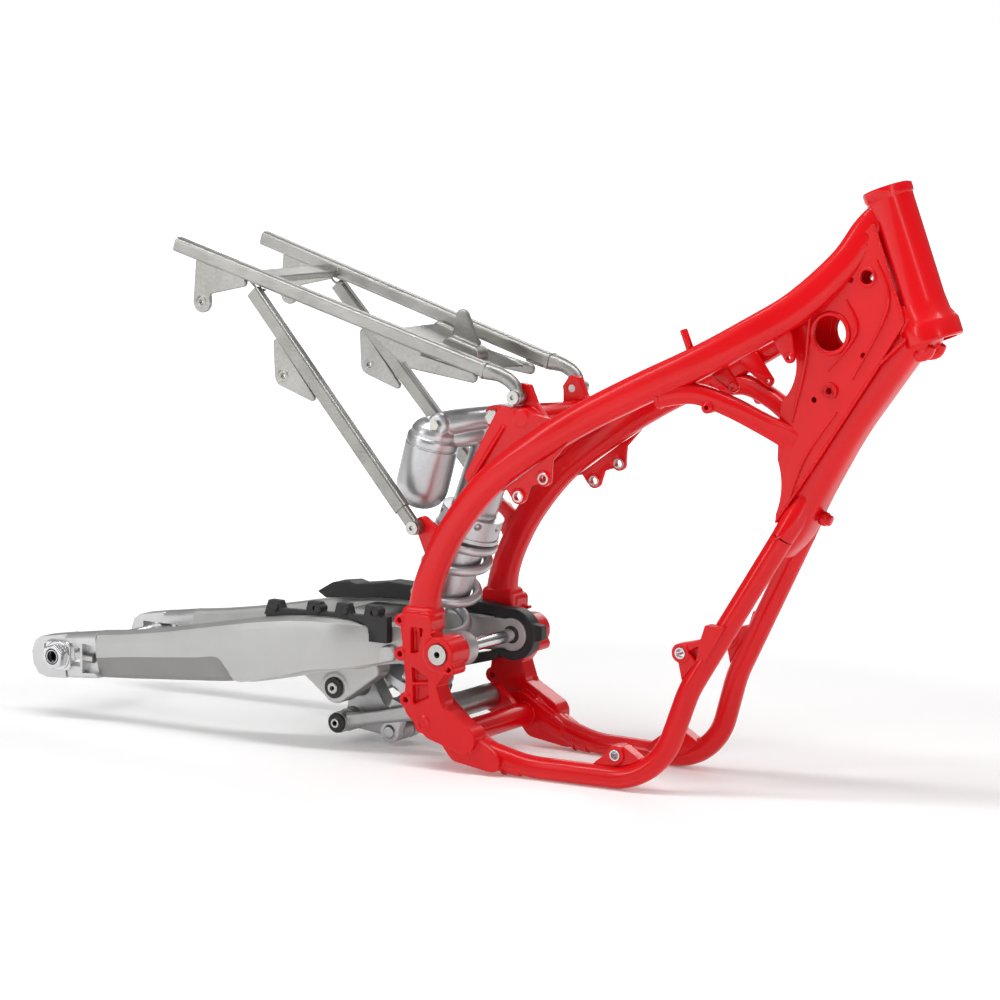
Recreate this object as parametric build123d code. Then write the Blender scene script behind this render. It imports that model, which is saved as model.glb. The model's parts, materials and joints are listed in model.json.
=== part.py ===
from build123d import *
import os
from math import atan2, cos, degrees, hypot, radians, sin

# Off-road motorcycle chassis: steel frame, aluminium subframe, swingarm, linkage and shock.
# X runs forwards, Y to the chassis's left, Z up. Millimetres. Side-view points are (x, z),
# counted from below the swingarm pivot; ORIGIN_SHIFT then puts the origin under the middle.

ORIGIN_SHIFT = 4.8

# ---- driving dimensions ----
PIVOT = (0.0, 149.0)
AXLE = (-606.0, 87.0)
SHOCK_TOP = (24.0, 442.0)
SHOCK_LOW = (-134.0, 19.0)
ROCKER_PIVOT = (-190.0, 79.0)
ROD_REAR = (-200.0, 28.0)
ROD_FRONT = (-30.0, 66.0)

HEAD_TOP = (546.0, 742.0)
HEAD_ANGLE = 20.5
HEAD_LENGTH = 189.0
HEAD_R = 28.0
UPPER_SEAT_R = 23.5
LOWER_SEAT_R = 27.5
SEAT_DEPTH = 14.0
HEAD_BORE_R = 20.0

CRADLE_R = 14.0
WALL = 2.0
TUBE_PLUG = 16.0
CASTING_INNER_Y = 88.0
CASTING_OUTER_Y = 117.0
LUG_INNER_Y = 56.0
LUG_OUTER_Y = 77.0
PIVOT_R = 8.5
PIVOT_BORE_R = 4.0
RUNNING_FIT = 0.05

LOWER_CROSS = (8.0, 42.0)
LOWER_CROSS_R = 15.0
UPPER_CROSS = (98.0, 450.0)
UPPER_CROSS_R = 11.0
UPPER_CROSS_END = 73.0
FRONT_MOUNT = (320.0, 177.0)
LOWER_MOUNT = (237.0, 43.0)
ENGINE_HOLES = [(102.0, 354.0), (138.0, 379.0)]
ENGINE_HOLE_R = 5.0
MOUNT_BUSH_R = 7.0
MOUNT_HOLE_R = 5.2

SUB_REAR = (-422.0, 647.0)
SUB_FRONT = (46.0, 505.0)
SUB_REAR_Y = 96.0
SUB_FRONT_Y = 78.0
SUB_TUBE = 18.0
HOOK_BOLT = (87.0, 475.0)
STAY_TOP = (-300.0, 590.0)
STAY_BOLT = (-43.0, 305.0)

AXLE_R = 12.5
AXLE_BORE_R = 8.0
AXLE_Y = 140.0
ARM_OUTER_Y = 122.0
TIP_JOINT_X = -545.0

SPRING_R = 45.0
SPRING_WIRE_R = 6.5
SHAFT_R = 9.0
SHOCK_TUBE_R = 30.0
BOLT_R = 5.0
LINK_SLACK = 2.8

NEAR, FAR = -1.0, 1.0
EPS = 0.01


# ---- helpers ----
def vec(point, y):
    return Vector(point[0], y, point[1])


def side_plane(y):
    """Sketch plane with x to the front and y up, standing at the given Y, facing +Y."""
    return Plane(origin=(0, y, 0), x_dir=(-1, 0, 0), z_dir=(0, 1, 0))


def slab(points, y_low, y_high):
    """Extrude a side-view outline from one Y to another."""
    outline = [(-x, z) for x, z in points]
    face = side_plane(y_low) * make_face(Polyline(*outline, close=True))
    return extrude(face, amount=y_high - y_low, dir=(0, 1, 0))


def rod_y(point, radius, y_low, y_high):
    """Round bar along Y."""
    plane = side_plane(y_low)
    return extrude(plane * Pos(-point[0], point[1]) * Circle(radius), amount=y_high - y_low, dir=(0, 1, 0))


def hex_y(point, across, y_low, y_high):
    """Hexagon bar along Y."""
    plane = side_plane(y_low)
    shape = RegularPolygon(radius=across / 2, side_count=6, major_radius=False)
    return extrude(plane * Pos(-point[0], point[1]) * shape, amount=y_high - y_low, dir=(0, 1, 0))


def pair(point, radius, y_in, y_out, side):
    """Round bar along Y between two distances from the middle plane, on one side."""
    low, high = sorted((side * y_in, side * y_out))
    return rod_y(point, radius, low, high)


def plate(points, y_in, y_out, side):
    low, high = sorted((side * y_in, side * y_out))
    return slab(points, low, high)


def belt(rounds, y_in, y_out, side):
    """Plate whose outline is a belt stretched round circles, each (x, z, radius)."""
    low, high = sorted((side * y_in, side * y_out))
    edges = [edge for x, z, radius in rounds for edge in (Pos(-x, z) * Circle(radius)).edges()]
    face = side_plane(low) * make_hull(edges)
    return extrude(face, amount=high - low, dir=(0, 1, 0))


def rod_between(start, end, radius):
    """Round bar from one point to another."""
    a, b = Vector(*start), Vector(*end)
    plane = Plane(origin=a, z_dir=b - a)
    return extrude(plane * Circle(radius), amount=(b - a).length)


def tube_path(points, radii):
    return FilletPolyline(*points, radius=radii) if len(points) > 2 else Line(*points)


def swept_round(points, radii, radius):
    path = tube_path(points, radii)
    start = Plane(origin=path @ 0, z_dir=path % 0)
    return sweep(start * Circle(radius), path=path)


def beam(stations, inset=0.0):
    """Loft rounded rectangles along stations of (x, y, z, width, height, corner)."""
    sections = []
    last = len(stations) - 1
    for i, (x, y, z, width, height, corner) in enumerate(stations):
        a = Vector(*stations[max(i - 1, 0)][:3])
        b = Vector(*stations[min(i + 1, last)][:3])
        tangent = (b - a).normalized()
        side = Vector(0, 1, 0) - tangent * tangent.Y
        plane = Plane(origin=(x, y, z), x_dir=side, z_dir=tangent)
        r = max(corner - inset, 1.0)
        sections.append(plane * RectangleRounded(width - 2 * inset, height - 2 * inset, r))
    return loft(sections, ruled=True)


def hollow(stations, wall=WALL, plug=0.0):
    """Box-section tube, closed at both ends over the length of the plug."""
    core = list(stations)
    if plug:
        core[0] = shifted(core[0], core[1], plug)
        core[-1] = shifted(core[-1], core[-2], plug)
    return beam(stations) - beam(core, wall)


def shifted(station, towards, distance):
    """The station moved along the line to its neighbour."""
    a, b = Vector(*station[:3]), Vector(*towards[:3])
    t = distance / (b - a).length
    return tuple(p + (q - p) * t for p, q in zip(station, towards))


def mirrored(stations, side):
    return [(x, side * abs(y), z, w, h, c) for x, y, z, w, h, c in stations]


def group(shapes):
    return Compound(children=list(shapes))


def group_sum(shapes):
    """All the shapes as one."""
    first, *others = shapes
    return first + others


def biggest(shape):
    """The main solid, without the offcuts that trimming leaves."""
    return shape.solids().sort_by(SortBy.VOLUME)[-1]


def head_point(distance, offset=0.0):
    """Side-view point down the steering axis, offset towards the front."""
    a = radians(HEAD_ANGLE)
    x = HEAD_TOP[0] + distance * sin(a) + offset * cos(a)
    z = HEAD_TOP[1] - distance * cos(a) + offset * sin(a)
    return (x, z)


def head_bar(d_low, d_high, radius):
    return rod_between(vec(head_point(d_low), 0), vec(head_point(d_high), 0), radius)


def shock_point(distance, offset=0.0):
    """Side-view point down the shock axis from its top eye, offset towards the front."""
    length = hypot(SHOCK_LOW[0] - SHOCK_TOP[0], SHOCK_LOW[1] - SHOCK_TOP[1])
    ux = (SHOCK_LOW[0] - SHOCK_TOP[0]) / length
    uz = (SHOCK_LOW[1] - SHOCK_TOP[1]) / length
    return (SHOCK_TOP[0] + ux * distance - uz * offset, SHOCK_TOP[1] + uz * distance + ux * offset)


def shock_bar(d_low, d_high, radius):
    return rod_between(vec(shock_point(d_low), 0), vec(shock_point(d_high), 0), radius)


SHOCK_LENGTH = hypot(SHOCK_LOW[0] - SHOCK_TOP[0], SHOCK_LOW[1] - SHOCK_TOP[1])


# ---- main frame members: stations are (x, |y|, z, width, height, corner) ----
BACKBONE = [
    (530, 18, 692, 25, 34, 9),
    (505, 26, 652, 27, 37, 10),
    (454, 40, 602, 28, 40, 11),
    (398, 54, 566, 28, 40, 11),
    (338, 65, 532, 28, 40, 11),
    (260, 74, 494, 28, 40, 11),
    (192, 81, 459, 28, 39, 11),
]
REAR_LEG = [
    (192, 81, 459, 28, 39, 11),
    (130, 88, 421, 28, 38, 11),
    (60, 92, 370, 27, 37, 10),
    (12, 92.5, 315, 27, 36, 10),
    (-16, 92.5, 268, 27, 36, 10),
    (-32, 92.5, 228, 27, 38, 10),
    (-37, 92.5, 197, 27, 42, 9),
]
STRUT = [
    (282, 72, 484, 20, 26, 8),
    (330, 66, 492, 22, 26, 9),
    (372, 56, 479, 22, 26, 9),
    (420, 44, 454, 22, 26, 9),
    (444, 37, 441, 22, 26, 9),
]
DOWNTUBE = [
    (588, 0, 572, 48, 44, 12),
    (545, 0, 522, 50, 54, 14),
    (500, 0, 462, 50, 60, 16),
    (463, 0, 392, 52, 60, 16),
    (440, 0, 332, 58, 46, 14),
]
CRADLE_POINTS = [(434, 31, 322), (328, 63, 131), (291, 75, 14), (112, 84, 14), (34, 92, 34)]
CRADLE_RADII = [150, 85, 160]


def cradle_path(side):
    return [(x, side * y, z) for x, y, z in CRADLE_POINTS]


def cradle_solid(side):
    return swept_round(cradle_path(side), CRADLE_RADII, CRADLE_R)


def head_tube():
    body = head_bar(0, HEAD_LENGTH, HEAD_R)
    body += head_bar(0, 15, HEAD_R + 2)
    body += head_bar(HEAD_LENGTH - 20, HEAD_LENGTH, HEAD_R + 7.5)
    body -= head_bar(-1, HEAD_LENGTH + 1, HEAD_BORE_R)
    body -= head_bar(-1, SEAT_DEPTH, UPPER_SEAT_R)
    return body - head_bar(HEAD_LENGTH - SEAT_DEPTH, HEAD_LENGTH + 1, LOWER_SEAT_R)


def head_outer():
    return head_bar(0, HEAD_LENGTH, HEAD_R) + head_bar(HEAD_LENGTH - 20, HEAD_LENGTH, HEAD_R + 7.5)


GUSSET = [
    head_point(36, -16), (440, 590), (426, 455), (424, 340), (556, 538), head_point(HEAD_LENGTH - 30, -16),
]
GUSSET_BAYS = [(388, 530, 60), (340, 385, 91)]
GUSSET_IN, GUSSET_OUT = 27.0, 30.5


def head_gusset(side):
    """Pressed side shell with its lightening holes and a threaded boss."""
    shell = plate(GUSSET, GUSSET_IN, GUSSET_OUT, side)
    for x, z, radius in GUSSET_BAYS:
        shell -= pair((x, z), radius, 0, 60, side)
    shell -= pair((492, 571), 22, 0, 60, side)
    shell -= pair((538, 639), 9, 0, 60, side)
    for hole in [(517, 635), (535, 547), (472, 491)]:
        shell -= pair(hole, 3.5, 0, 60, side)
    boss = pair((493, 503), 10, GUSSET_IN, GUSSET_OUT + 4, side)
    shell += boss
    shell -= pair((493, 503), 4, 0, 60, side)
    return shell - beam(mirrored(BACKBONE, side)) - beam(DOWNTUBE) - head_outer()


def backbone(side):
    return hollow(mirrored(BACKBONE, side), plug=TUBE_PLUG) - head_outer()


def strut(side):
    """Lower brace from the main spar to the downtube gusset, with its threaded side boss."""
    body = hollow(mirrored(STRUT, side), plug=TUBE_PLUG)
    boss = pair((352, 478), 7, 58, 76, side) - pair((352, 478), 3, 50, 80, side)
    body += boss
    body -= beam(mirrored(BACKBONE, side))
    return biggest(body - plate(GUSSET, GUSSET_IN, GUSSET_OUT, side))


def downtube():
    body = hollow(DOWNTUBE, plug=TUBE_PLUG)
    knob = rod_between((462, 0, 350), (484, 0, 343), 7) - beam(DOWNTUBE)
    body = body + knob - head_outer() - head_bar(HEAD_LENGTH - 1, HEAD_LENGTH + 30, HEAD_R + 9)
    return body - cradle_solid(NEAR) - cradle_solid(FAR)


def rear_leg(side):
    """Rear half of the main spar, with the ear that takes the subframe stay."""
    ear = plate([(-50, 312), (-36, 318), (-8, 300), (-30, 262)], 88, 98, side)
    ear += pair(STAY_BOLT, 11, 88, 98, side)
    outer = beam(mirrored(REAR_LEG, side))
    body = hollow(mirrored(REAR_LEG, side), plug=TUBE_PLUG) + (ear - outer)
    body -= pair(STAY_BOLT, BOLT_R, 60, 140, side)
    return biggest(body - beam(mirrored(BACKBONE, side)))


def cradle_tube(side):
    points = cradle_path(side)
    body = cradle_solid(side) - swept_round(points, CRADLE_RADII, CRADLE_R - WALL)
    return body - pivot_casting_outer(side)


PIVOT_PLATE_BELTS = [
    [(-50, 188, 9), (-20, 188, 9), (-34, 150, 20)],
    [(-34, 150, 20), (0, 149, 22), (-28, 112, 22)],
    [(-28, 112, 22), (-32, 80, 20), (-14, 84, 18)],
    [(-32, 80, 20), (-8, 58, 20), (36, 44, 18)],
]
FOOT = [(0, 56, 16), (24, 30, 18), (72, 18, 13)]
CASTING_LUGS = [((-59, 187), 8), ((-58, 144), 9), ((15, 131), 8), ((-49, 86), 10), ((-25, 56), 11)]


def pivot_casting_outer(side):
    body = group_sum(belt(rounds, CASTING_INNER_Y, CASTING_OUTER_Y, side) for rounds in PIVOT_PLATE_BELTS)
    for centre, radius in CASTING_LUGS:
        body += pair(centre, radius, CASTING_INNER_Y, CASTING_OUTER_Y, side)
    body += pair(PIVOT, 22, LUG_OUTER_Y + 0.5, CASTING_OUTER_Y + 1.5, side)
    return body + belt(FOOT, 76, 108, side)


def pivot_casting(side):
    """Cast plate that carries the swingarm pivot, with its lugs and pockets."""
    body = pivot_casting_outer(side)
    pocket = [(-42, 180), (-24, 180), (-28, 150), (-42, 146)]
    body -= plate(pocket, CASTING_OUTER_Y - 9, CASTING_OUTER_Y + 1, side)
    pocket = [(-40, 130), (-16, 118), (-14, 92), (-38, 80)]
    body -= plate(pocket, CASTING_OUTER_Y - 8, CASTING_OUTER_Y + 1, side)
    for centre, _ in CASTING_LUGS[:4]:
        body -= pair(centre, 3.5, 60, 140, side)
    body -= pair(PIVOT, PIVOT_R, 60, 140, side)
    body -= pair(PIVOT, 13.2, CASTING_OUTER_Y - 2, 140, side)
    return body - rear_leg_socket(side)


def rear_leg_socket(side):
    return beam(mirrored(REAR_LEG, side))


def lower_cross_tube():
    """Tube between the castings, with the two lugs that hold the linkage rod."""
    outer = rod_y(LOWER_CROSS, LOWER_CROSS_R, -76, 76)
    lug_outline = [(-36, 48), (-44, 74), (-20, 82), (6, 60), (14, 44), (2, 32)]
    lugs = None
    for side in (NEAR, FAR):
        lug = plate(lug_outline, 52, 62, side) + pair(ROD_FRONT, 16, 52, 62, side)
        lugs = lug if lugs is None else lugs + lug
    body = outer + lugs
    body -= rod_y(LOWER_CROSS, LOWER_CROSS_R - WALL, -80, 80)
    return body - rod_y(ROD_FRONT, BOLT_R + 1, -80, 80)


def upper_cross_tube():
    """Tube between the main spars, with the two ears of the shock's top mount."""
    outer = rod_y(UPPER_CROSS, UPPER_CROSS_R, -UPPER_CROSS_END, UPPER_CROSS_END)
    ear_outline = [(24, 426), (14, 442), (22, 454), (98, 461), (104, 442), (92, 436)]
    ears = None
    for side in (NEAR, FAR):
        ear = plate(ear_outline, 19, 27, side) + pair(SHOCK_TOP, 15, 19, 27, side)
        ears = ear if ears is None else ears + ear
    body = outer + ears
    body -= rod_y(UPPER_CROSS, UPPER_CROSS_R - WALL, -80, 80)
    body -= rod_y(SHOCK_TOP, BOLT_R, -80, 80)
    return body


WEB_BELTS = [[(72, 454, 10), (24, 372, 8), (84, 414, 12)], [(72, 454, 10), (84, 414, 12), (138, 444, 8)]]


def rear_web(side):
    """Gusset plate above the rear leg with the tower that takes the subframe."""
    body = group_sum(belt(rounds, 78, 84, side) for rounds in WEB_BELTS)
    tower = [(76, 440), (74, 478), (84, 492), (98, 490), (108, 468), (124, 448), (112, 434)]
    body += plate(tower, 56, 66, side)
    body += plate([(72, 446), (76, 461), (104, 463), (128, 448), (110, 434)], 62, 84, side)
    body -= pair(HOOK_BOLT, BOLT_R, 40, 90, side)
    body -= rod_y(UPPER_CROSS, UPPER_CROSS_R, -UPPER_CROSS_END, UPPER_CROSS_END)
    return body - beam(mirrored(REAR_LEG, side)) - beam(mirrored(BACKBONE, side))


ENGINE_PLATE = [
    (56, 352), (84, 361), (92, 350), (112, 350), (118, 368), (130, 372), (148, 374), (150, 402),
    (196, 452), (160, 440), (100, 398), (56, 366),
]


def engine_plate(side):
    """Plate under the spar with two round lugs for the engine's head stays."""
    body = plate(ENGINE_PLATE, 90, 94, side)
    for centre in ENGINE_HOLES:
        body += pair(centre, 9.5, 89, 97, side)
        body -= pair(centre, ENGINE_HOLE_R, 60, 120, side)
    return body - beam(mirrored(REAR_LEG, side))


def front_engine_lug(side):
    """Triangular pocketed lug on the cradle tube for the front engine bolt."""
    outline = [(316, 188), (346, 196), (352, 214), (378, 214), (334, 130), (322, 140), (316, 166)]
    body = plate(outline, 55, 71, side) + pair(FRONT_MOUNT, 12, 53, 73, side)
    body -= plate([(330, 180), (344, 188), (340, 168)], 63, 80, side)
    body -= pair(FRONT_MOUNT, MOUNT_BUSH_R, 40, 90, side)
    return body - cradle_solid(side)


def lower_engine_lug(side):
    outline = [(224, 44), (230, 54), (246, 54), (286, 30), (262, 20), (196, 20), (208, 32)]
    body = plate(outline, 62, 80, side) + pair(LOWER_MOUNT, 12, 60, 84, side)
    body -= pair(LOWER_MOUNT, MOUNT_BUSH_R, 40, 90, side)
    return body - cradle_solid(side)


def engine_bushes():
    """Four steel bushes for the front and lower engine bolts."""
    bushes = []
    for side in (NEAR, FAR):
        for point, y_in, y_out in [(FRONT_MOUNT, 50, 74), (LOWER_MOUNT, 48, 85)]:
            bush = pair(point, MOUNT_BUSH_R, y_in, y_out, side)
            bushes.append(bush - pair(point, MOUNT_HOLE_R, 30, 95, side))
    return group(bushes)


def tank_mounts():
    """Round peg on the right spar and the small tank tabs under both spars."""
    spar = beam(mirrored(BACKBONE, NEAR))
    parts = [rod_between((321, -62, 545), (312, -62, 569), 4.8) - spar]
    for side in (NEAR, FAR):
        for hole in [(374, 502), (448, 541)]:
            outline = [(hole[0] - 22, hole[1] + 36), (hole[0] - 8, hole[1] + 2), (hole[0] + 8, hole[1] + 2),
                       (hole[0] + 6, hole[1] + 48)]
            tab = plate(outline, 44, 48, side) + pair(hole, 8, 44, 48, side)
            tab -= pair(hole, 2.5, 30, 60, side)
            parts.append(tab - beam(mirrored(BACKBONE, side)) - beam(mirrored(STRUT, side)))
    return group(parts)


# ---- frame hardware ----
def pivot_axle():
    body = rod_y(PIVOT, PIVOT_R - RUNNING_FIT, -CASTING_OUTER_Y + 2, CASTING_OUTER_Y + 4)
    body += pair(PIVOT, 13, CASTING_OUTER_Y - 2, CASTING_OUTER_Y + 4, FAR)
    return body - rod_y(PIVOT, PIVOT_BORE_R, -130, 130)


def pivot_nut():
    body = pair(PIVOT, 13, CASTING_OUTER_Y - 2, CASTING_OUTER_Y + 4, NEAR)
    return body - rod_y(PIVOT, PIVOT_BORE_R, -130, 130)


def cross_bolt(point, radius, half_length, across, head):
    """Bolt along Y with a hexagon head on the right and a nut on the left."""
    body = rod_y(point, radius - RUNNING_FIT, -half_length, half_length)
    body += hex_y(point, across, -half_length - head, -half_length)
    return body + hex_y(point, across, half_length, half_length + head)


def frame_bolts():
    """Linkage bolt and shock top bolt, both through the frame's lugs."""
    return group([cross_bolt(ROD_FRONT, BOLT_R + 1, 62, 18, 7), cross_bolt(SHOCK_TOP, BOLT_R, 27, 17, 7)])


# ---- subframe ----
def rail_point(t):
    """Point at fraction t along the right rail's centre line, rear to front, as (x, |y|, z)."""
    x = SUB_REAR[0] + (SUB_FRONT[0] - SUB_REAR[0]) * t
    z = SUB_REAR[1] + (SUB_FRONT[1] - SUB_REAR[1]) * t
    return (x, SUB_REAR_Y + (SUB_FRONT_Y - SUB_REAR_Y) * t, z)


def rail_stations(t_low, t_high, width, height, corner):
    return [(*rail_point(t), width, height, corner) for t in (t_low, t_high)]


def subframe_rail(side):
    stations = mirrored(rail_stations(0, 1, SUB_TUBE, SUB_TUBE + 1, 5), side)
    return hollow(stations, WALL)


def rail_hook(side):
    """Forged end: a plug collar on the rail and an elbow down to the frame bolt."""
    x, y, z = rail_point(1)
    stations = [
        (x + 0.2, y, z, 20, 20, 6),
        (x + 14, y - 1, z - 3, 17, 18, 6),
        (x + 30, y - 2, z - 10, 14, 17, 5),
        (HOOK_BOLT[0] + 1, 75, HOOK_BOLT[1] + 6, 14, 17, 5),
    ]
    body = beam(mirrored(stations, side)) + pair(HOOK_BOLT, 9.5, 67, 83, side)
    body -= pair(HOOK_BOLT, BOLT_R, 40, 100, side)
    body -= beam(mirrored(rail_stations(0, 1, SUB_TUBE, SUB_TUBE + 1, 5), side))
    return biggest(body - slab([(60, 440), (60, 510), (120, 510), (120, 440)], -66.4, 66.4))


def stay_solid(side, inset=0.0):
    stations = [(STAY_TOP[0], 95, STAY_TOP[1], 14, 20, 4), (-63, 105, 327, 14, 20, 4)]
    return beam(mirrored(stations, side), inset)


def subframe_stay(side):
    """Flat-sided stay from the rail down to the rear leg, with its bolted end fitting."""
    fitting = [(-63, 105, 327, 12, 17, 4), (-50, 105, 312, 12, 17, 4), (-43, 105, 305, 12, 17, 4)]
    body = stay_solid(side) - stay_solid(side, WALL)
    body += beam(mirrored(fitting, side)) + pair(STAY_BOLT, 9.5, 99, 111, side)
    body -= pair(STAY_BOLT, BOLT_R, 80, 130, side)
    body -= pair(STAY_BOLT, 40, 80, 98.4, side)
    rail = beam(mirrored(rail_stations(-0.02, 1, SUB_TUBE, SUB_TUBE + 1, 5), side))
    return body - rail


def subframe_cross_strut():
    x, y, z = rail_point(0.25)
    body = Pos(x, 0, z - 4) * Rot(0, 17, 0) * Box(26, 2 * y, 9)
    for side in (NEAR, FAR):
        body -= beam(mirrored(rail_stations(0, 1, SUB_TUBE, SUB_TUBE + 1, 5), side))
        body -= stay_solid(side)
    return biggest(body)


def subframe_bracket():
    """Saddle plate between the rails with a raised middle hump and two side skirts."""
    hump = [(-78, 522), (-66, 546), (-52, 572), (-38, 572), (-24, 552), (-14, 528), (0, 512), (-4, 508),
            (-74, 518)]
    body = slab(hump, -24, 24)
    deck = [(-132, 553), (-136, 549), (-20, 512), (0, 510), (-4, 516)]
    body += slab(deck, -72, 72)
    skirt = [(-134, 552), (-124, 520), (-92, 508), (-66, 498), (-44, 500), (-24, 488), (16, 488), (20, 502),
             (-4, 514)]
    for side in (NEAR, FAR):
        body += plate(skirt, 66, 71, side)
        body -= beam(mirrored(rail_stations(0, 1, SUB_TUBE, SUB_TUBE + 1, 5), side))
    return biggest(body)


def fender_lugs():
    """Two rear lugs under the rails for the mudguard."""
    outline = [(-392, 636), (-366, 636), (-352, 612), (-322, 590), (-330, 582), (-358, 572), (-368, 562),
               (-392, 564), (-397, 572), (-392, 600)]
    lugs = []
    for side in (NEAR, FAR):
        lug = plate(outline, 93, 101, side) + pair((-381, 573), 15, 93, 101, side)
        lug -= pair((-381, 573), 3.2, 80, 110, side)
        lug -= beam(mirrored(rail_stations(0, 1, SUB_TUBE, SUB_TUBE + 1, 5), side))
        lugs.append(biggest(lug - stay_solid(side)))
    return group(lugs)


def panel_lugs():
    """Two lugs behind the stays for the side panels."""
    outline = [(-262, 540), (-266, 510), (-264, 484), (-246, 468), (-222, 466), (-196, 456), (-214, 486)]
    lugs = []
    for side in (NEAR, FAR):
        lug = plate(outline, 95, 101, side) + pair((-250, 484), 14, 95, 101, side)
        lug = lug - pair((-250, 484), 3.2, 80, 110, side) - stay_solid(side)
        lugs.append(biggest(lug))
    return group(lugs)


def subframe_bolts():
    """Four bolts that fasten the subframe to the towers and the rear legs."""
    bolts = []
    for side in (NEAR, FAR):
        for point, y_in, y_out in [(HOOK_BOLT, 57, 83), (STAY_BOLT, 89, 111)]:
            bolt = pair(point, BOLT_R, y_in, y_out + 3, side)
            bolt += pair(point, 8.5, y_out + 0.01, y_out + 4, side)
            socket_low, socket_high = sorted((side * (y_out + 1.5), side * (y_out + 5)))
            bolts.append(bolt - hex_y(point, 6, socket_low, socket_high))
    return group(bolts)


# ---- swingarm: stations are (x, |y|, z, width, height, corner) ----
ARM = [
    (-596, 108, 86, 28, 60, 7),
    (-500, 108, 97, 28, 66, 9),
    (-400, 108, 111, 28, 72, 11),
    (-300, 107, 124, 30, 80, 12),
    (-220, 103, 138, 32, 76, 12),
    (-160, 95, 143, 34, 66, 12),
    (-118, 80, 145, 28, 60, 10),
    (-88, 68, 147, 22, 54, 7),
    (0, 66.5, 149, 21, 42, 6),
]
SLOT_LOW_X, SLOT_HIGH_X = -634.0, -572.0
SLOT_HEIGHT = 26.0


ARM_WALL = 4.0
CROSS_Y = 90.0
CROSS = [
    (-240, 150), (-236, 166), (-172, 168), (-166, 156), (-166, 116), (-176, 104), (-236, 98), (-244, 110),
]
CROSS_CORE = [(-234, 146), (-230, 160), (-176, 162), (-172, 118), (-178, 111), (-232, 105), (-237, 112)]


def arm_side(side):
    body = beam(mirrored(ARM, side)) - beam(mirrored(ARM[1:5], side), ARM_WALL)
    tip = [(-597, 56), (-597, 116), (-640, 109), (-650, 102), (-655, 88), (-653, 70), (-644, 58), (-630, 54)]
    body += plate(tip, 94, ARM_OUTER_Y, side)
    body += pair(PIVOT, 22, LUG_INNER_Y, LUG_OUTER_Y, side)
    middle = (SLOT_LOW_X + SLOT_HIGH_X) / 2
    body -= Pos(middle, side * 108, AXLE[1]) * Box(SLOT_HIGH_X - SLOT_LOW_X, 40, SLOT_HEIGHT)
    body -= plate([(-568, 66), (-568, 106), (-540, 104), (-540, 68)], 112, 130, side)
    return body - pair(PIVOT, PIVOT_R + 3, 40, 90, side)


def behind_tip_joint():
    """Everything behind the joint between the arms and their milled ends."""
    return slab([(-700, 0), (-700, 200), (TIP_JOINT_X, 200), (TIP_JOINT_X, 0)], -150, 150)


def arm_tip(side):
    """Milled end of one arm, with the axle's slot."""
    return biggest(arm_side(side) & behind_tip_joint())


def swingarm():
    """Casting: two arms, the cross member and the linkage clevis under it."""
    body = arm_side(NEAR) + arm_side(FAR) + slab(CROSS, -CROSS_Y, CROSS_Y)
    body -= slab(CROSS_CORE, -CROSS_Y + ARM_WALL, CROSS_Y - ARM_WALL)
    bulge = [(-262, 96), (-236, 78), (-206, 62), (-176, 62), (-166, 80), (-160, 112), (-240, 130)]
    for side in (NEAR, FAR):
        body += plate(bulge, 40, 70, side) + pair(ROCKER_PIVOT, 21, 40, 70, side)
        body -= pair(ROCKER_PIVOT, BOLT_R + 1, 30, 90, side)
    body -= slab([(-330, 20), (-330, 78), (-215, 50), (-215, 20)], -130, 130)
    return body - behind_tip_joint()


def chain_slider():
    """Plastic strip over the left arm, round the pivot lug and back under it."""
    x, z = PIVOT
    band = pair(PIVOT, 34, LUG_INNER_Y + 1, LUG_OUTER_Y, FAR) - pair(PIVOT, 22.3, 0, 90, FAR)
    keep = slab([(-30, 100), (-30, 200), (60, 200), (60, 100)], 50, 90)
    band = band & keep
    top = [(-8, 171), (-8, 183), (-95, 192), (-95, 176)]
    under = [(-20, 127), (-26, 113), (-88, 96), (-92, 106), (-84, 112), (-30, 124)]
    block = [(x + 30, z + 16), (x + 44, z + 14), (x + 44, z - 4), (x + 32, z - 8)]
    strip = [(-88, 176), (-88, 194), (-170, 198), (-200, 199), (-214, 196), (-250, 191), (-262, 194),
             (-290, 190), (-314, 176), (-300, 168), (-200, 178)]
    body = band
    for outline in (top, under):
        body += plate(outline, LUG_INNER_Y + 1, LUG_OUTER_Y, FAR)
    body += plate(block, LUG_INNER_Y + 4, LUG_OUTER_Y - 4, FAR)
    near_leg = plate([(-40, 150), (-40, 210), (-95, 210), (-95, 150)], LUG_OUTER_Y + 0.5, 130, FAR)
    body += plate(strip, 66, 98, FAR) - near_leg
    body -= arm_side(FAR)
    return biggest(body)


def hose_guide():
    """Plastic comb on the right arm that carries the brake hose."""
    body = plate([(-282, 150), (-282, 179), (-92, 184), (-92, 150)], 84, 96, NEAR)
    for x, top in [(-268, 190), (-205, 194), (-160, 196), (-115, 197)]:
        outline = [(x - 17, 170), (x - 10, top), (x + 8, top), (x + 17, 170)]
        body += plate(outline, 84, 96, NEAR)
        body -= pair((x + 1, top - 9), 3.5, 60, 120, NEAR)
    return biggest(body - arm_side(NEAR) - slab(CROSS, -CROSS_Y, CROSS_Y))


def swingarm_seals():
    """Pivot bushes in both lugs and the seal rings of the linkage clevis."""
    rings = []
    for side in (NEAR, FAR):
        bush = pair(PIVOT, PIVOT_R + 3, LUG_INNER_Y - 1, LUG_OUTER_Y, side)
        rings.append(bush - rod_y(PIVOT, PIVOT_R, -90, 90))
        seal = pair(ROCKER_PIVOT, 11, 70.01, 73, side)
        rings.append(seal - rod_y(ROCKER_PIVOT, BOLT_R + 1, -90, 90))
    return group(rings)


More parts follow.
